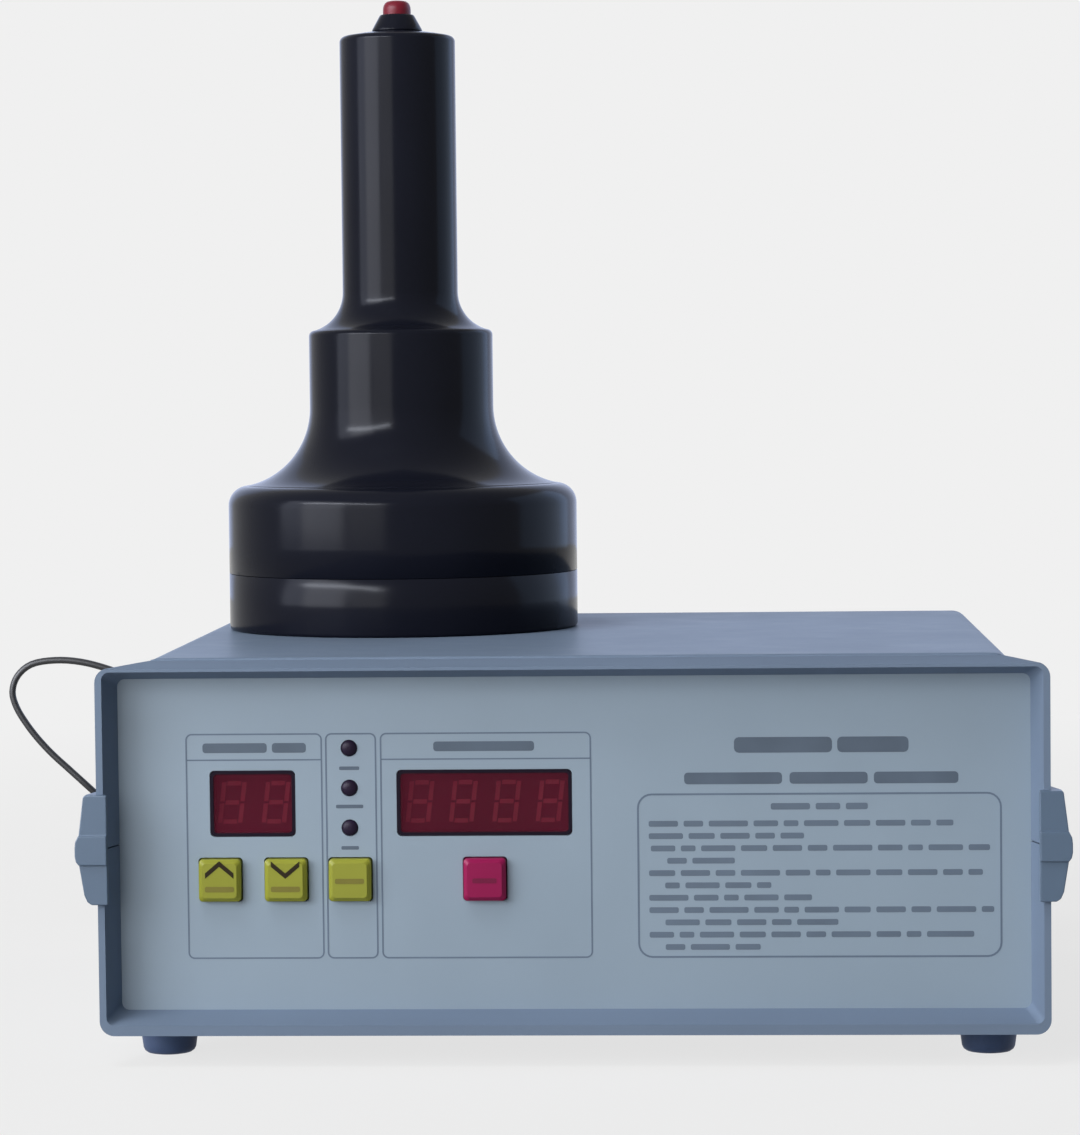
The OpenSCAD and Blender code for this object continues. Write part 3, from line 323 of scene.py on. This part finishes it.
def add_slab(bm, pts, y_front, y_back):
    """A flat closed slab with an X and Z outline."""
    close_slab(bm, upright_loop(bm, pts, y_front), upright_loop(bm, pts, y_back))


def frame_line(bm, cx, cz, w, h, r, t, y_front, y_back):
    """A flat closed frame of a given line width."""
    outer = round_rect(cx, cz, w, h, r)
    inner = round_rect(cx, cz, w - 2 * t, h - 2 * t, r - t)
    section = ((outer, y_front), (inner, y_front), (inner, y_back), (outer, y_back))
    close_ring(bm, [upright_loop(bm, pts, y) for pts, y in section])


def bar(bm, x0, x1, cz, h, y_front, y_back, r=None):
    """A flat bar from one place to another, with rounded ends unless a corner radius is given."""
    w = x1 - x0
    r = min(w, h) * BAR_CORNER_SHARE if r is None else r
    add_slab(bm, round_rect((x0 + x1) / 2, cz, w, h, r, BAR_CORNER_STEPS), y_front, y_back)


def lathe(profile, steps, origin, axis="Z"):
    """A closed solid of revolution from (radius, height) points, both ends on the axis."""
    bm = bmesh.new()
    rings = []
    for r, h in profile:
        ring = []
        for i in range(1 if r < AXIS_R else steps):
            a = 2 * math.pi * i / steps
            x, y = r * math.cos(a), r * math.sin(a)
            p = (x, y, h) if axis == "Z" else (x, -h, y)
            ring.append(bm.verts.new(tuple((p[k] + origin[k]) * MM for k in range(3))))
        rings.append(ring)
    for a, b in zip(rings, rings[1:]):
        for i in range(steps):
            j = (i + 1) % steps
            if len(a) == 1:
                bm.faces.new((a[0], b[j], b[i]))
            elif len(b) == 1:
                bm.faces.new((a[i], a[j], b[0]))
            else:
                bm.faces.new((a[i], a[j], b[j], b[i]))
    return bm


# Cord: down from the head, round the coil on the bench, and back up through the loop to the case

DROP = [
    (-66.5, 146, 155), (-66.5, 153, 155), (-67, 161, 152.5), (-68, 166.5, 146.5), (-69, 169, 138),
    (-71, 170.5, 122), (-73, 172, 106), (-75, 173.5, 90), (-77, 175, 74), (-79, 176.5, 58),
    (-81.5, 178.5, 42), (-83.8, 180, 27), (-84.8, 180.5, 17), (-85, 178.2, 9), (-85, 172.5, 3.5),
    (-85, 165.5, 1.6), (-85, 156, 1.5),
]
LOOP = [
    (-70, 171, 17.6), (-80, 171.2, 17), (-91, 172.6, 12.6), (-102.5, 174.6, 6.4), (-114, 176.2, 2.2),
    (-126, 176, 1.9), (-139, 173, 5), (-152, 169, 13), (-166, 164.5, 25), (-180, 160, 39),
    (-190, 157, 49.5), (-197.5, 155, 57), (-204, 155, 63), (-210.5, 155, 69), (-216, 155, 75),
    (-220.5, 155, 81), (-224, 155, 87), (-225.5, 155, 93), (-223.5, 155, 99), (-218, 155, 103.5),
    (-209, 155, 105), (-199, 155, 104.3), (-188, 155.5, 101.3), (-172, 157, 95), (-156, 159.5, 88),
    (-140, 161.5, 80.5), (-126, 162, 75), (-114, 158.5, 71.5), (-107, 152.5, 70.2), (-105, 146, 70),
]
COIL = {"x": -70, "y": 156, "r": 15, "turns": 5.75, "pitch": 2.8, "z": 1.5}
CORD_R = 1.3
ROUTE_STEPS = 4
TURN_STEPS = 32


def through(points):
    """Points on the smooth curve that passes through a route's points."""
    p = [Vector(q) for q in points]
    out = []
    for i in range(len(p) - 1):
        a, b, c, d = p[max(i - 1, 0)], p[i], p[i + 1], p[min(i + 2, len(p) - 1)]
        for s in range(ROUTE_STEPS):
            u = s / ROUTE_STEPS
            out.append(0.5 * (2 * b + (c - a) * u + (2 * a - 5 * b + 4 * c - d) * u * u
                              + (3 * b - a - 3 * c + d) * u * u * u))
    out.append(p[-1])
    return out


def coil_turns():
    """Points of the coil, without its first and last ones, which the drop and the loop hold."""
    count = int(COIL["turns"] * TURN_STEPS)
    out = []
    for i in range(1, count):
        turned = COIL["turns"] * i / count
        a = math.pi + 2 * math.pi * turned
        out.append(Vector((COIL["x"] + COIL["r"] * math.cos(a), COIL["y"] + COIL["r"] * math.sin(a),
                           COIL["z"] + COIL["pitch"] * turned)))
    return out


def add_cord():
    path = through(DROP) + coil_turns() + through(LOOP)
    curve = bpy.data.curves.new("head_cord", "CURVE")
    curve.dimensions = "3D"
    curve.bevel_depth = CORD_R * MM
    curve.bevel_resolution = 3
    curve.use_fill_caps = True
    spline = curve.splines.new("POLY")
    spline.points.add(len(path) - 1)
    for q, v in zip(spline.points, path):
        q.co = (v.x * MM, v.y * MM, v.z * MM, 1)
    spline.use_smooth = True
    curve.materials.append(M["cord"])
    o = bpy.data.objects.new("head_cord", curve)
    scene.collection.objects.link(o)
    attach(o, "unit")
    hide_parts("cord_drop", "cord_coil", "cord_loop")


add_cord()


# Tie: a hook-and-loop strap round the turns of the coil, with its free end pressed flat on its side

TIE_DEG = 330
TIE_LOW, TIE_HIGH = 0.55, 18.9
TIE_CLEAR, TIE_T, TIE_W, TIE_CORNER = 0.35, 0.5, 5.0, 1.6
TIE_IN = CORD_R + TIE_CLEAR
TIE_OUT = TIE_IN + TIE_T
TIE_EDGE, TIE_EDGE_DEG = 0.12, 40
TAIL_LOW, TAIL_HIGH, TAIL_W = 4.0, 15.6, 4.4
TAIL_IN, TAIL_OUT = TIE_OUT - 0.1, TIE_OUT + 0.45
TAIL = [
    (TAIL_IN, TAIL_LOW), (TAIL_OUT, TAIL_LOW + 0.2), (TAIL_OUT, TAIL_HIGH - 0.6),
    (TIE_OUT + 0.2, TAIL_HIGH), (TAIL_IN, TAIL_HIGH),
]


def add_tie():
    at = math.radians(TIE_DEG)
    out = Vector((math.cos(at), math.sin(at), 0))
    along = Vector((-math.sin(at), math.cos(at), 0))
    centre = Vector((COIL["x"], COIL["y"], 0)) + out * COIL["r"]
    bm = bmesh.new()

    def loop(pts, k):
        return [bm.verts.new((centre + out * x + along * k + Vector((0, 0, z))) * MM) for x, z in pts]

    middle, height = (TIE_LOW + TIE_HIGH) / 2, TIE_HIGH - TIE_LOW
    ring = round_rect(0, middle, 2 * TIE_OUT, height, TIE_CORNER, 5)
    hole = round_rect(0, middle, 2 * TIE_IN, height - 2 * TIE_T, TIE_CORNER - TIE_T, 5)
    side = TIE_W / 2
    close_ring(bm, [loop(ring, -side), loop(hole, -side), loop(hole, side), loop(ring, side)])
    close_slab(bm, loop(TAIL, -TAIL_W / 2), loop(TAIL, TAIL_W / 2))
    o = add_mesh("cord_tie", bm, "strap")
    soften(o, TIE_EDGE, TIE_EDGE_DEG)


add_tie()


# Case: the rounded edge where the flat top meets the sloped top of the front lip, and the feet

RIDGE_Z, RIDGE_R = 122.6, 1.3
RIDGE_LEAST, RIDGE_RISE = 0.4, 0.7
# Places along the ridge, with the share of the rise that it has there
RIDGE = ((-132.5, 0.2), (-131, 0.8), (-127, 1), (127, 1), (131, 0.8), (132.5, 0.2))
FOOT_X, FOOT_Y, FOOT_STEPS = 128, 100, 64
FOOT = [(0, 0), (6.0, 0), (7.0, 0.2), (7.8, 0.8), (8.25, 1.7), (8.5, 3.6), (9.0, 7), (9.5, 10.5), (0, 10.5)]


def add_ridge():
    bm = bmesh.new()
    loops = []
    for x, share in RIDGE:
        height = RIDGE_LEAST + RIDGE_RISE * share
        half = [(x, BROW_Y + RIDGE_R * c, RIDGE_Z + height * s) for c, s in arc(0, 0, 1, 0, 180, 9)]
        loops.append([bm.verts.new(tuple(c * MM for c in q)) for q in half])
    for a, b in zip(loops, loops[1:]):
        bridge(bm, a, b)
    bm.faces.new(loops[0])
    bm.faces.new(loops[-1][::-1])
    add_mesh("case_ridge", bm, "case", smooth=True)


def add_feet():
    for end, y in (("front", -FOOT_Y), ("rear", FOOT_Y)):
        for hand, x in (("left", -FOOT_X), ("right", FOOT_X)):
            name = "foot_%s_%s" % (end, hand)
            pad = lathe(FOOT, FOOT_STEPS, (x, y, 0))
            o = add_mesh(name + "_pad", pad, "foot", smooth=True)
            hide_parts(name)


add_ridge()
add_feet()


# Sealing head: turned from its outline, with the seam above the coil cover and heights from the case top

HEAD = (-66.5, 60, 123)
BASE_R, COLLAR_R, HANDLE_R = 61.5, 32.4, 20.3
SHOULDER_R, SWEEP_R, GRIP_R, EDGE_R = 7, 28, 14, 2
SHOULDER_Z, COLLAR_Z, HANDLE_Z, CROWN_Z = 50.6, 105, 208, 209.5
# Heights of the hollow arcs' centres, and the angles where these arcs leave the rounds below them
SWEEP_Z, SWEEP_DEG = 78.0, 257.8
GRIP_Z, GRIP_DEG = 118.45, 253.8
SEAM_LOW, SEAM_HIGH, SEAM_EDGE = 19.85, 20.0, 0.1
HEAD_STEPS, TRIGGER_STEPS = 160, 64
COVER = [
    (0, 0), (60.2, 0), (60.9, 0.15), (61.35, 0.6), (BASE_R, 1.2), (BASE_R, 10),
    (BASE_R, SEAM_LOW - SEAM_EDGE), (BASE_R - SEAM_EDGE, SEAM_LOW), (0, SEAM_LOW),
]
BEZEL = [
    (0, 209.52), (8.6, 209.52), (8.9, 209.8), (8.75, 210.4), (7.9, 212), (7.0, 213.6), (6.25, 215),
    (5.9, 215.45), (5.7, 215.5), (5.35, 215.5), (5.2, 215.3), (5.2, 211), (0, 211),
]
TRIGGER = [
    (0, 205.5), (4.9, 205.5), (4.9, 217.2), (4.82, 218.1), (4.55, 219), (4.1, 219.7), (3.4, 220.2),
    (2.4, 220.45), (0, 220.5),
]


def housing_outline():
    """The housing's outline, with a point or two on each straight stretch to keep the shading even."""
    foot = [(0, SEAM_HIGH), (BASE_R - SEAM_EDGE, SEAM_HIGH), (BASE_R, SEAM_HIGH + SEAM_EDGE), (BASE_R, 30)]
    shoulder = arc(BASE_R - SHOULDER_R, SHOULDER_Z - SHOULDER_R, SHOULDER_R, 0, 90, 14)
    sweep = arc(COLLAR_R + SWEEP_R, SWEEP_Z, SWEEP_R, SWEEP_DEG, 180, 40) + [(COLLAR_R, 90)]
    edge = arc(COLLAR_R - EDGE_R, COLLAR_Z - EDGE_R, EDGE_R, 0, 90, 8)
    grip = arc(HANDLE_R + GRIP_R, GRIP_Z, GRIP_R, GRIP_DEG, 180, 24) + [(HANDLE_R, 140), (HANDLE_R, 175)]
    top = arc(HANDLE_R - EDGE_R, HANDLE_Z - EDGE_R, EDGE_R, 0, 90, 8)
    crown = [(15.2, 208.6), (12, 209.1), (8.9, CROWN_Z), (0, CROWN_Z)]
    return foot + shoulder + sweep + edge + grip + top + crown


def add_head():
    body = lathe(housing_outline(), HEAD_STEPS, HEAD)
    o = add_mesh("head_body", body, "head", smooth=True)
    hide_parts("head_housing")
    o = add_mesh("head_coil_cover", lathe(COVER, HEAD_STEPS, HEAD), "head", smooth=True)
    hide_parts("head_cover")
    o = add_mesh("trigger_ring", lathe(BEZEL, TRIGGER_STEPS, HEAD), "head", smooth=True)
    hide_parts("trigger_bezel")
    cap = lathe(TRIGGER, TRIGGER_STEPS, HEAD)
    o = add_mesh("trigger_cap", cap, "red", body="trigger", smooth=True)
    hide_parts("trigger_button")


add_head()


# Front panel: windows with their digits, and lamps

PANEL_Y = -118.0
WINDOW_Z, WINDOW_H, WINDOW_R = 80, 20.5, 2.2
PANE_INSET, PANE_R, PANE_EDGE = 1.0, 0.8, 0.15
PANE = (PANEL_Y + 0.1, PANEL_Y + 1.4)
# Painted shadow round each window pane: the dark frame's line width, its clearance, and its front and back
SHADOW_LINE_W, SHADOW_CLEAR = 1.1, 0.05
SHADOW_SPAN = (PANEL_Y - 0.06, PANEL_Y + 4.1)
DIGIT_W, DIGIT_H, DIGIT_STROKE = 7.6, 13.2, 1.35
DIGIT_LEAN, DIGIT_GAP = 0.12, 0.35
DIGIT = (PANEL_Y + 3.7, PANEL_Y + 4.15)
LAMP_X, LAMP_R, LAMP_STEPS = -68.5, 2.45, 40
LAMP_BACK, LAMP_RIM, LAMP_TOP = -12.8, -0.2, 1.15
LAMP_FLATTEN = 0.55
LAMPS = (("lamp_high", 97), ("lamp_middle", 84.7), ("lamp_low", 72.4))


def add_digit(bm, cx):
    """The seven segments of one display digit, leaning a little to the right."""
    w, h, t, g = DIGIT_W / 2, DIGIT_H / 2, DIGIT_STROKE, DIGIT_GAP

    def segment(x0, x1, z0, z1):
        pts = [(x0, z0), (x1, z0), (x1, z1), (x0, z1)]
        add_slab(bm, [(cx + x + DIGIT_LEAN * z, WINDOW_Z + z) for x, z in pts], *DIGIT)

    for z in (h - t, -t / 2, -h):
        segment(-w + t + g, w - t - g, z, z + t)
    for x in (-w, w - t):
        segment(x, x + t, g, h - g)
        segment(x, x + t, -h + g, -g)


def add_window(node, cx, w, digits, pitch):
    name = node + "_pane"
    bm = bmesh.new()
    pane = round_rect(cx, WINDOW_Z, w - 2 * PANE_INSET, WINDOW_H - 2 * PANE_INSET, PANE_R)
    add_slab(bm, pane, *PANE)
    o = add_mesh(name, bm, "window")
    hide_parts(node)
    soften(o, PANE_EDGE)
    # A dark frame round the pane is painted shadow, where the cut-out's edge throws its shade on the window
    bm = bmesh.new()
    shadow_w, shadow_h = w - 2 * SHADOW_CLEAR, WINDOW_H - 2 * SHADOW_CLEAR
    frame_line(bm, cx, WINDOW_Z, shadow_w, shadow_h, WINDOW_R, SHADOW_LINE_W, *SHADOW_SPAN)
    add_mesh(name + "_painted_shadow", bm, "painted_shadow")
    bm = bmesh.new()
    for i in range(digits):
        add_digit(bm, cx + (i - (digits - 1) / 2) * pitch)
    add_mesh(name + "_digits", bm, "segment")


def add_lamps():
    """Round lenses with flattened domes."""
    dome = [(r, h if h < 0 else h * LAMP_FLATTEN) for r, h in arc(0, LAMP_RIM, LAMP_R, 0, 90, 10)[:-1]]
    lens = [(0, LAMP_BACK), (LAMP_R, LAMP_BACK)] + dome + [(0, LAMP_TOP)]
    for name, z in LAMPS:
        bm = lathe(lens, LAMP_STEPS, (LAMP_X, PANEL_Y, z), "Y")
        o = add_mesh(name + "_lens", bm, "lamp", smooth=True)
        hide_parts(name)


add_window("time_window", -98.5, 26.5, 2, 13.6)
add_window("count_window", -27, 54, 4, 13.4)
add_lamps()


# Print: frames, rules, and plain bars in the place of words

INK = (PANEL_Y - 0.06, PANEL_Y + 0.02)
BLOCKS = ((-119.1, -76.8), (-75.9, -60.1), (-59.0, 6.0))
BLOCK_Z, BLOCK_H, BLOCK_R, BLOCK_LINE = 66.8, 69.8, 2, 0.5
RULES = ((-118.7, -77.2), (-58.6, 5.6))
RULE_Z, RULE_H, RULE_R = 93.5, 0.45, 0.05
BOX_X, BOX_Z, BOX_W, BOX_H, BOX_R, BOX_LINE = 75.5, 57.2, 111.3, 50.7, 4.5, 0.6
# Headings and labels: height on the panel, height of the bars, and the bars from left to right
HEADINGS = (
    (97.2, 3.0, ((-113.8, -93.9), (-92.3, -81.8))),
    (97.4, 3.0, ((-42.5, -11.5),)),
    (90.8, 1.1, ((-71.6, -65.4),)),
    (79.0, 1.1, ((-72.7, -64.3),)),
    (66.2, 1.1, ((-71.2, -65.8),)),
    (97.3, 4.8, ((49.7, 79.6), (81.2, 102.9))),
    (87.1, 3.6, ((34.4, 64.3), (66.6, 90.4), (92.3, 118))),
)
# Small print: a heading and eleven lines, each from its left to its right end
TITLE_X, TITLE_Z, TITLE_H = (60.8, 90.4), 78.4, 2.0
TEXT_TOP, TEXT_PITCH, TEXT_H = 73.2, 3.8, 1.8
TEXT = (
    (23.4, 116.4), (23.4, 70.9), (24, 127.5), (29, 49.7), (23.4, 125.3), (28.3, 60.8), (23.4, 73.2),
    (23.4, 128.7), (28.3, 81.2), (23.4, 122.6), (28.3, 57.4),
)
WORDS = (9, 6, 12, 7.5, 4.5, 10.5, 8)
WORD_SPACE, LEAST_REST = 1.7, 5


def add_words(bm, x0, x1, z, h, first):
    """One line of small print as a row of word-long bars from one place to another."""
    k = first
    while x0 < x1:
        w = WORDS[k % len(WORDS)]
        w = x1 - x0 if x1 - x0 - w < LEAST_REST else w
        bar(bm, x0, x0 + w, z, h, *INK)
        x0 += w + WORD_SPACE
        k += 1


def add_print():
    lines = bmesh.new()
    for x0, x1 in BLOCKS:
        frame_line(lines, (x0 + x1) / 2, BLOCK_Z, x1 - x0, BLOCK_H, BLOCK_R, BLOCK_LINE, *INK)
    for x0, x1 in RULES:
        bar(lines, x0, x1, RULE_Z, RULE_H, *INK, r=RULE_R)
    frame_line(lines, BOX_X, BOX_Z, BOX_W, BOX_H, BOX_R, BOX_LINE, *INK)
    add_mesh("panel_lines", lines, "line")
    ink = bmesh.new()
    for z, h, bars in HEADINGS:
        for x0, x1 in bars:
            bar(ink, x0, x1, z, h, *INK)
    add_mesh("panel_marks", ink, "print")
    text = bmesh.new()
    add_words(text, *TITLE_X, TITLE_Z, TITLE_H, 2)
    for i, (x0, x1) in enumerate(TEXT):
        add_words(text, x0, x1, TEXT_TOP - TEXT_PITCH * i, TEXT_H, 5 * i)
    add_mesh("panel_text", text, "text")


add_print()


# Key marks: chevrons on two keys, and a bar in the place of each key's word

KEY_FRONT = PANEL_Y - 3.5
KEY_INK = (KEY_FRONT - 0.08, KEY_FRONT + 0.05)
UP_X, DOWN_X, POWER_X, RESET_X = -108.7, -88.3, -68.5, -27
CHEVRON_Z, CHEVRON_STROKE = 59.9, 1.7
CHEVRON = [(-4.4, -1.8), (0, 1.9), (4.4, -1.8)]
LOW_LABEL_Z, LABEL_Z = 53.9, 56.3


def add_chevron(name, body, x, up):
    half = CHEVRON_STROKE / 2
    pts = [(q, z - half) for q, z in CHEVRON] + [(q, z + half) for q, z in CHEVRON[::-1]]
    bm = bmesh.new()
    add_slab(bm, [(x + q, CHEVRON_Z + up * z) for q, z in pts], *KEY_INK)
    add_mesh(name + "_arrow", bm, "mark", body=body)


def add_label(name, body, x, z, w, h, ink="faint"):
    bm = bmesh.new()
    bar(bm, x - w / 2, x + w / 2, z, h, *KEY_INK)
    add_mesh(name + "_label", bm, ink, body=body)


for name, body, x, up in (("key_up", "up_key", UP_X, 1), ("key_down", "down_key", DOWN_X, -1)):
    add_chevron(name, body, x, up)
    add_label(name, body, x, LOW_LABEL_Z, w=9, h=1.7)
add_label("key_power", "power_key", POWER_X, LABEL_Z, w=9, h=1.6)
add_label("key_reset", "reset_key", RESET_X, LABEL_Z, w=7.4, h=1.5, ink="reset_mark")


# Rounded edges of the pieces that keep their CAD shape

CASE_EDGE, CLIP_EDGE, KEY_EDGE, FITTING_EDGE = 0.7, 0.3, 0.5, 0.4
CLIP_EDGE_DEG = 25
for n in SHELLS + PANELS:
    soften(nodes[n], CASE_EDGE)
for n in CLIPS:
    soften(nodes[n], CLIP_EDGE, CLIP_EDGE_DEG, slivers=True)
for n in YELLOW_KEYS + ["key_reset"]:
    soften(nodes[n], KEY_EDGE)
for n in REAR_FITTINGS:
    soften(nodes[n], FITTING_EDGE)


# Floor and background

PALE = 0.8713
FLOOR_HALF = 12
FLOOR_BOUNCE, FLOOR_SEEN = 0.35, 0.85
# The floor's share of plain glow, which leaves the shadow near the object and none far away
GLOW_NEAR, GLOW_FAR = 0.85, 1.0
GLOW_START, GLOW_END = 0.3, 1.1
AIR_COLOR, AIR_STRENGTH = (0.92, 0.96, 1.0, 1), 0.03


def grey(value):
    return (value, value, value, 1)


def seen_rays(t):
    """One for rays from the camera, in reflections and through windows, and zero for the rest."""
    path = t.nodes.new("ShaderNodeLightPath")
    a = t.nodes.new("ShaderNodeMath")
    a.operation = "MAXIMUM"
    t.links.new(path.outputs["Is Camera Ray"], a.inputs[0])
    t.links.new(path.outputs["Is Glossy Ray"], a.inputs[1])
    b = t.nodes.new("ShaderNodeMath")
    b.operation = "MAXIMUM"
    t.links.new(a.outputs[0], b.inputs[0])
    t.links.new(path.outputs["Is Transmission Ray"], b.inputs[1])
    return b.outputs[0]


def floor_material():
    """Pale to the rays that are seen, with the shadow kept near the object."""
    m = bpy.data.materials.new("floor_pale")
    m.use_nodes = True
    t = m.node_tree
    t.nodes.clear()
    out = t.nodes.new("ShaderNodeOutputMaterial")
    seen = seen_rays(t)
    tone = t.nodes.new("ShaderNodeMix")
    tone.data_type = "RGBA"
    tone.inputs["A"].default_value = grey(FLOOR_BOUNCE)
    tone.inputs["B"].default_value = grey(FLOOR_SEEN)
    t.links.new(seen, tone.inputs["Factor"])
    diffuse = t.nodes.new("ShaderNodeBsdfDiffuse")
    t.links.new(tone.outputs["Result"], diffuse.inputs["Color"])
    glow = t.nodes.new("ShaderNodeEmission")
    glow.inputs["Color"].default_value = grey(PALE)
    away = t.nodes.new("ShaderNodeVectorMath")
    away.operation = "LENGTH"
    t.links.new(t.nodes.new("ShaderNodeTexCoord").outputs["Object"], away.inputs[0])
    share = t.nodes.new("ShaderNodeMath")
    share.operation = "MULTIPLY"
    t.links.new(seen, share.inputs[0])
    far = spread(t, away.outputs["Value"], GLOW_NEAR, GLOW_FAR, GLOW_START, GLOW_END)
    t.links.new(far, share.inputs[1])
    both = t.nodes.new("ShaderNodeMixShader")
    t.links.new(share.outputs[0], both.inputs["Fac"])
    t.links.new(diffuse.outputs[0], both.inputs[1])
    t.links.new(glow.outputs[0], both.inputs[2])
    t.links.new(both.outputs[0], out.inputs["Surface"])
    return m


def add_floor():
    bm = bmesh.new()
    bmesh.ops.create_grid(bm, x_segments=1, y_segments=1, size=FLOOR_HALF)
    me = bpy.data.meshes.new("floor")
    bm.to_mesh(me)
    bm.free()
    me.materials.append(floor_material())
    floor = bpy.data.objects.new("floor", me)
    scene.collection.objects.link(floor)


def add_world():
    world = bpy.data.worlds.new("studio")
    scene.world = world
    world.use_nodes = True
    t = world.node_tree
    t.nodes.clear()
    out = t.nodes.new("ShaderNodeOutputWorld")
    backdrop = t.nodes.new("ShaderNodeBackground")
    backdrop.inputs["Color"].default_value = grey(PALE)
    air = t.nodes.new("ShaderNodeBackground")
    air.inputs["Color"].default_value = AIR_COLOR
    air.inputs["Strength"].default_value = AIR_STRENGTH
    both = t.nodes.new("ShaderNodeMixShader")
    t.links.new(seen_rays(t), both.inputs["Fac"])
    t.links.new(air.outputs[0], both.inputs[1])
    t.links.new(backdrop.outputs[0], both.inputs[2])
    t.links.new(both.outputs[0], out.inputs["Surface"])


add_floor()
add_world()


# Light: soft lamps from the left and above, and tinted cards that only show in reflections

def add_light(name, place, target, size, power, mirrored=True, lighting=True, color=(1, 1, 1)):
    data = bpy.data.lights.new(name, "AREA")
    data.shape = "RECTANGLE"
    data.size, data.size_y = size
    data.energy = power
    data.color = color
    o = bpy.data.objects.new(name, data)
    o.location = place
    o.rotation_euler = (Vector(target) - Vector(place)).to_track_quat("-Z", "Y").to_euler()
    o.visible_camera = False
    o.visible_glossy = mirrored
    o.visible_diffuse = lighting
    scene.collection.objects.link(o)


def add_card(name, place, target, size, power, color):
    add_light(name, place, target, size, power, lighting=False, color=color)


add_light("key", (-1.5, -1.25, 0.78), (0, -0.05, 0.6), (1.1, 1.4), 28)
add_card("key_gloss", (-1.72, -0.97, 0.8), (-0.07, 0.06, 0.6), (1.7, 1.4), 50, (0.8, 0.85, 1))
add_card("high_gloss", (-1.32, -1.49, 1.22), (-0.07, 0.06, 0.2), (2.2, 0.12), 45, (0.85, 0.9, 1))
add_light("side_fill", (-0.8, -2.1, 0.78), (0, -0.05, 0.6), (1.0, 1.4), 18)
add_card("cool_right", (1.47, 0.78, 0.6), (-0.07, 0.06, 0.3), (1.9, 1.5), 15, (0.4, 0.62, 1))
add_card("cool_back", (0.3, 2.4, 0.8), (0, 0.1, 0.1), (4.5, 2.0), 17, (0.15, 0.36, 1))
add_light("top", (-0.55, -0.75, 1.75), (0, 0, 0.1), (0.9, 0.6), 13, mirrored=False)
add_light("rear_left", (-1.3, 1.6, 0.9), (0, 0.1, 0.1), (1.2, 1.0), 8, mirrored=False)
add_light("rear_right", (1.5, 1.2, 0.9), (0, 0.1, 0.1), (1.2, 1.0), 8, mirrored=False)
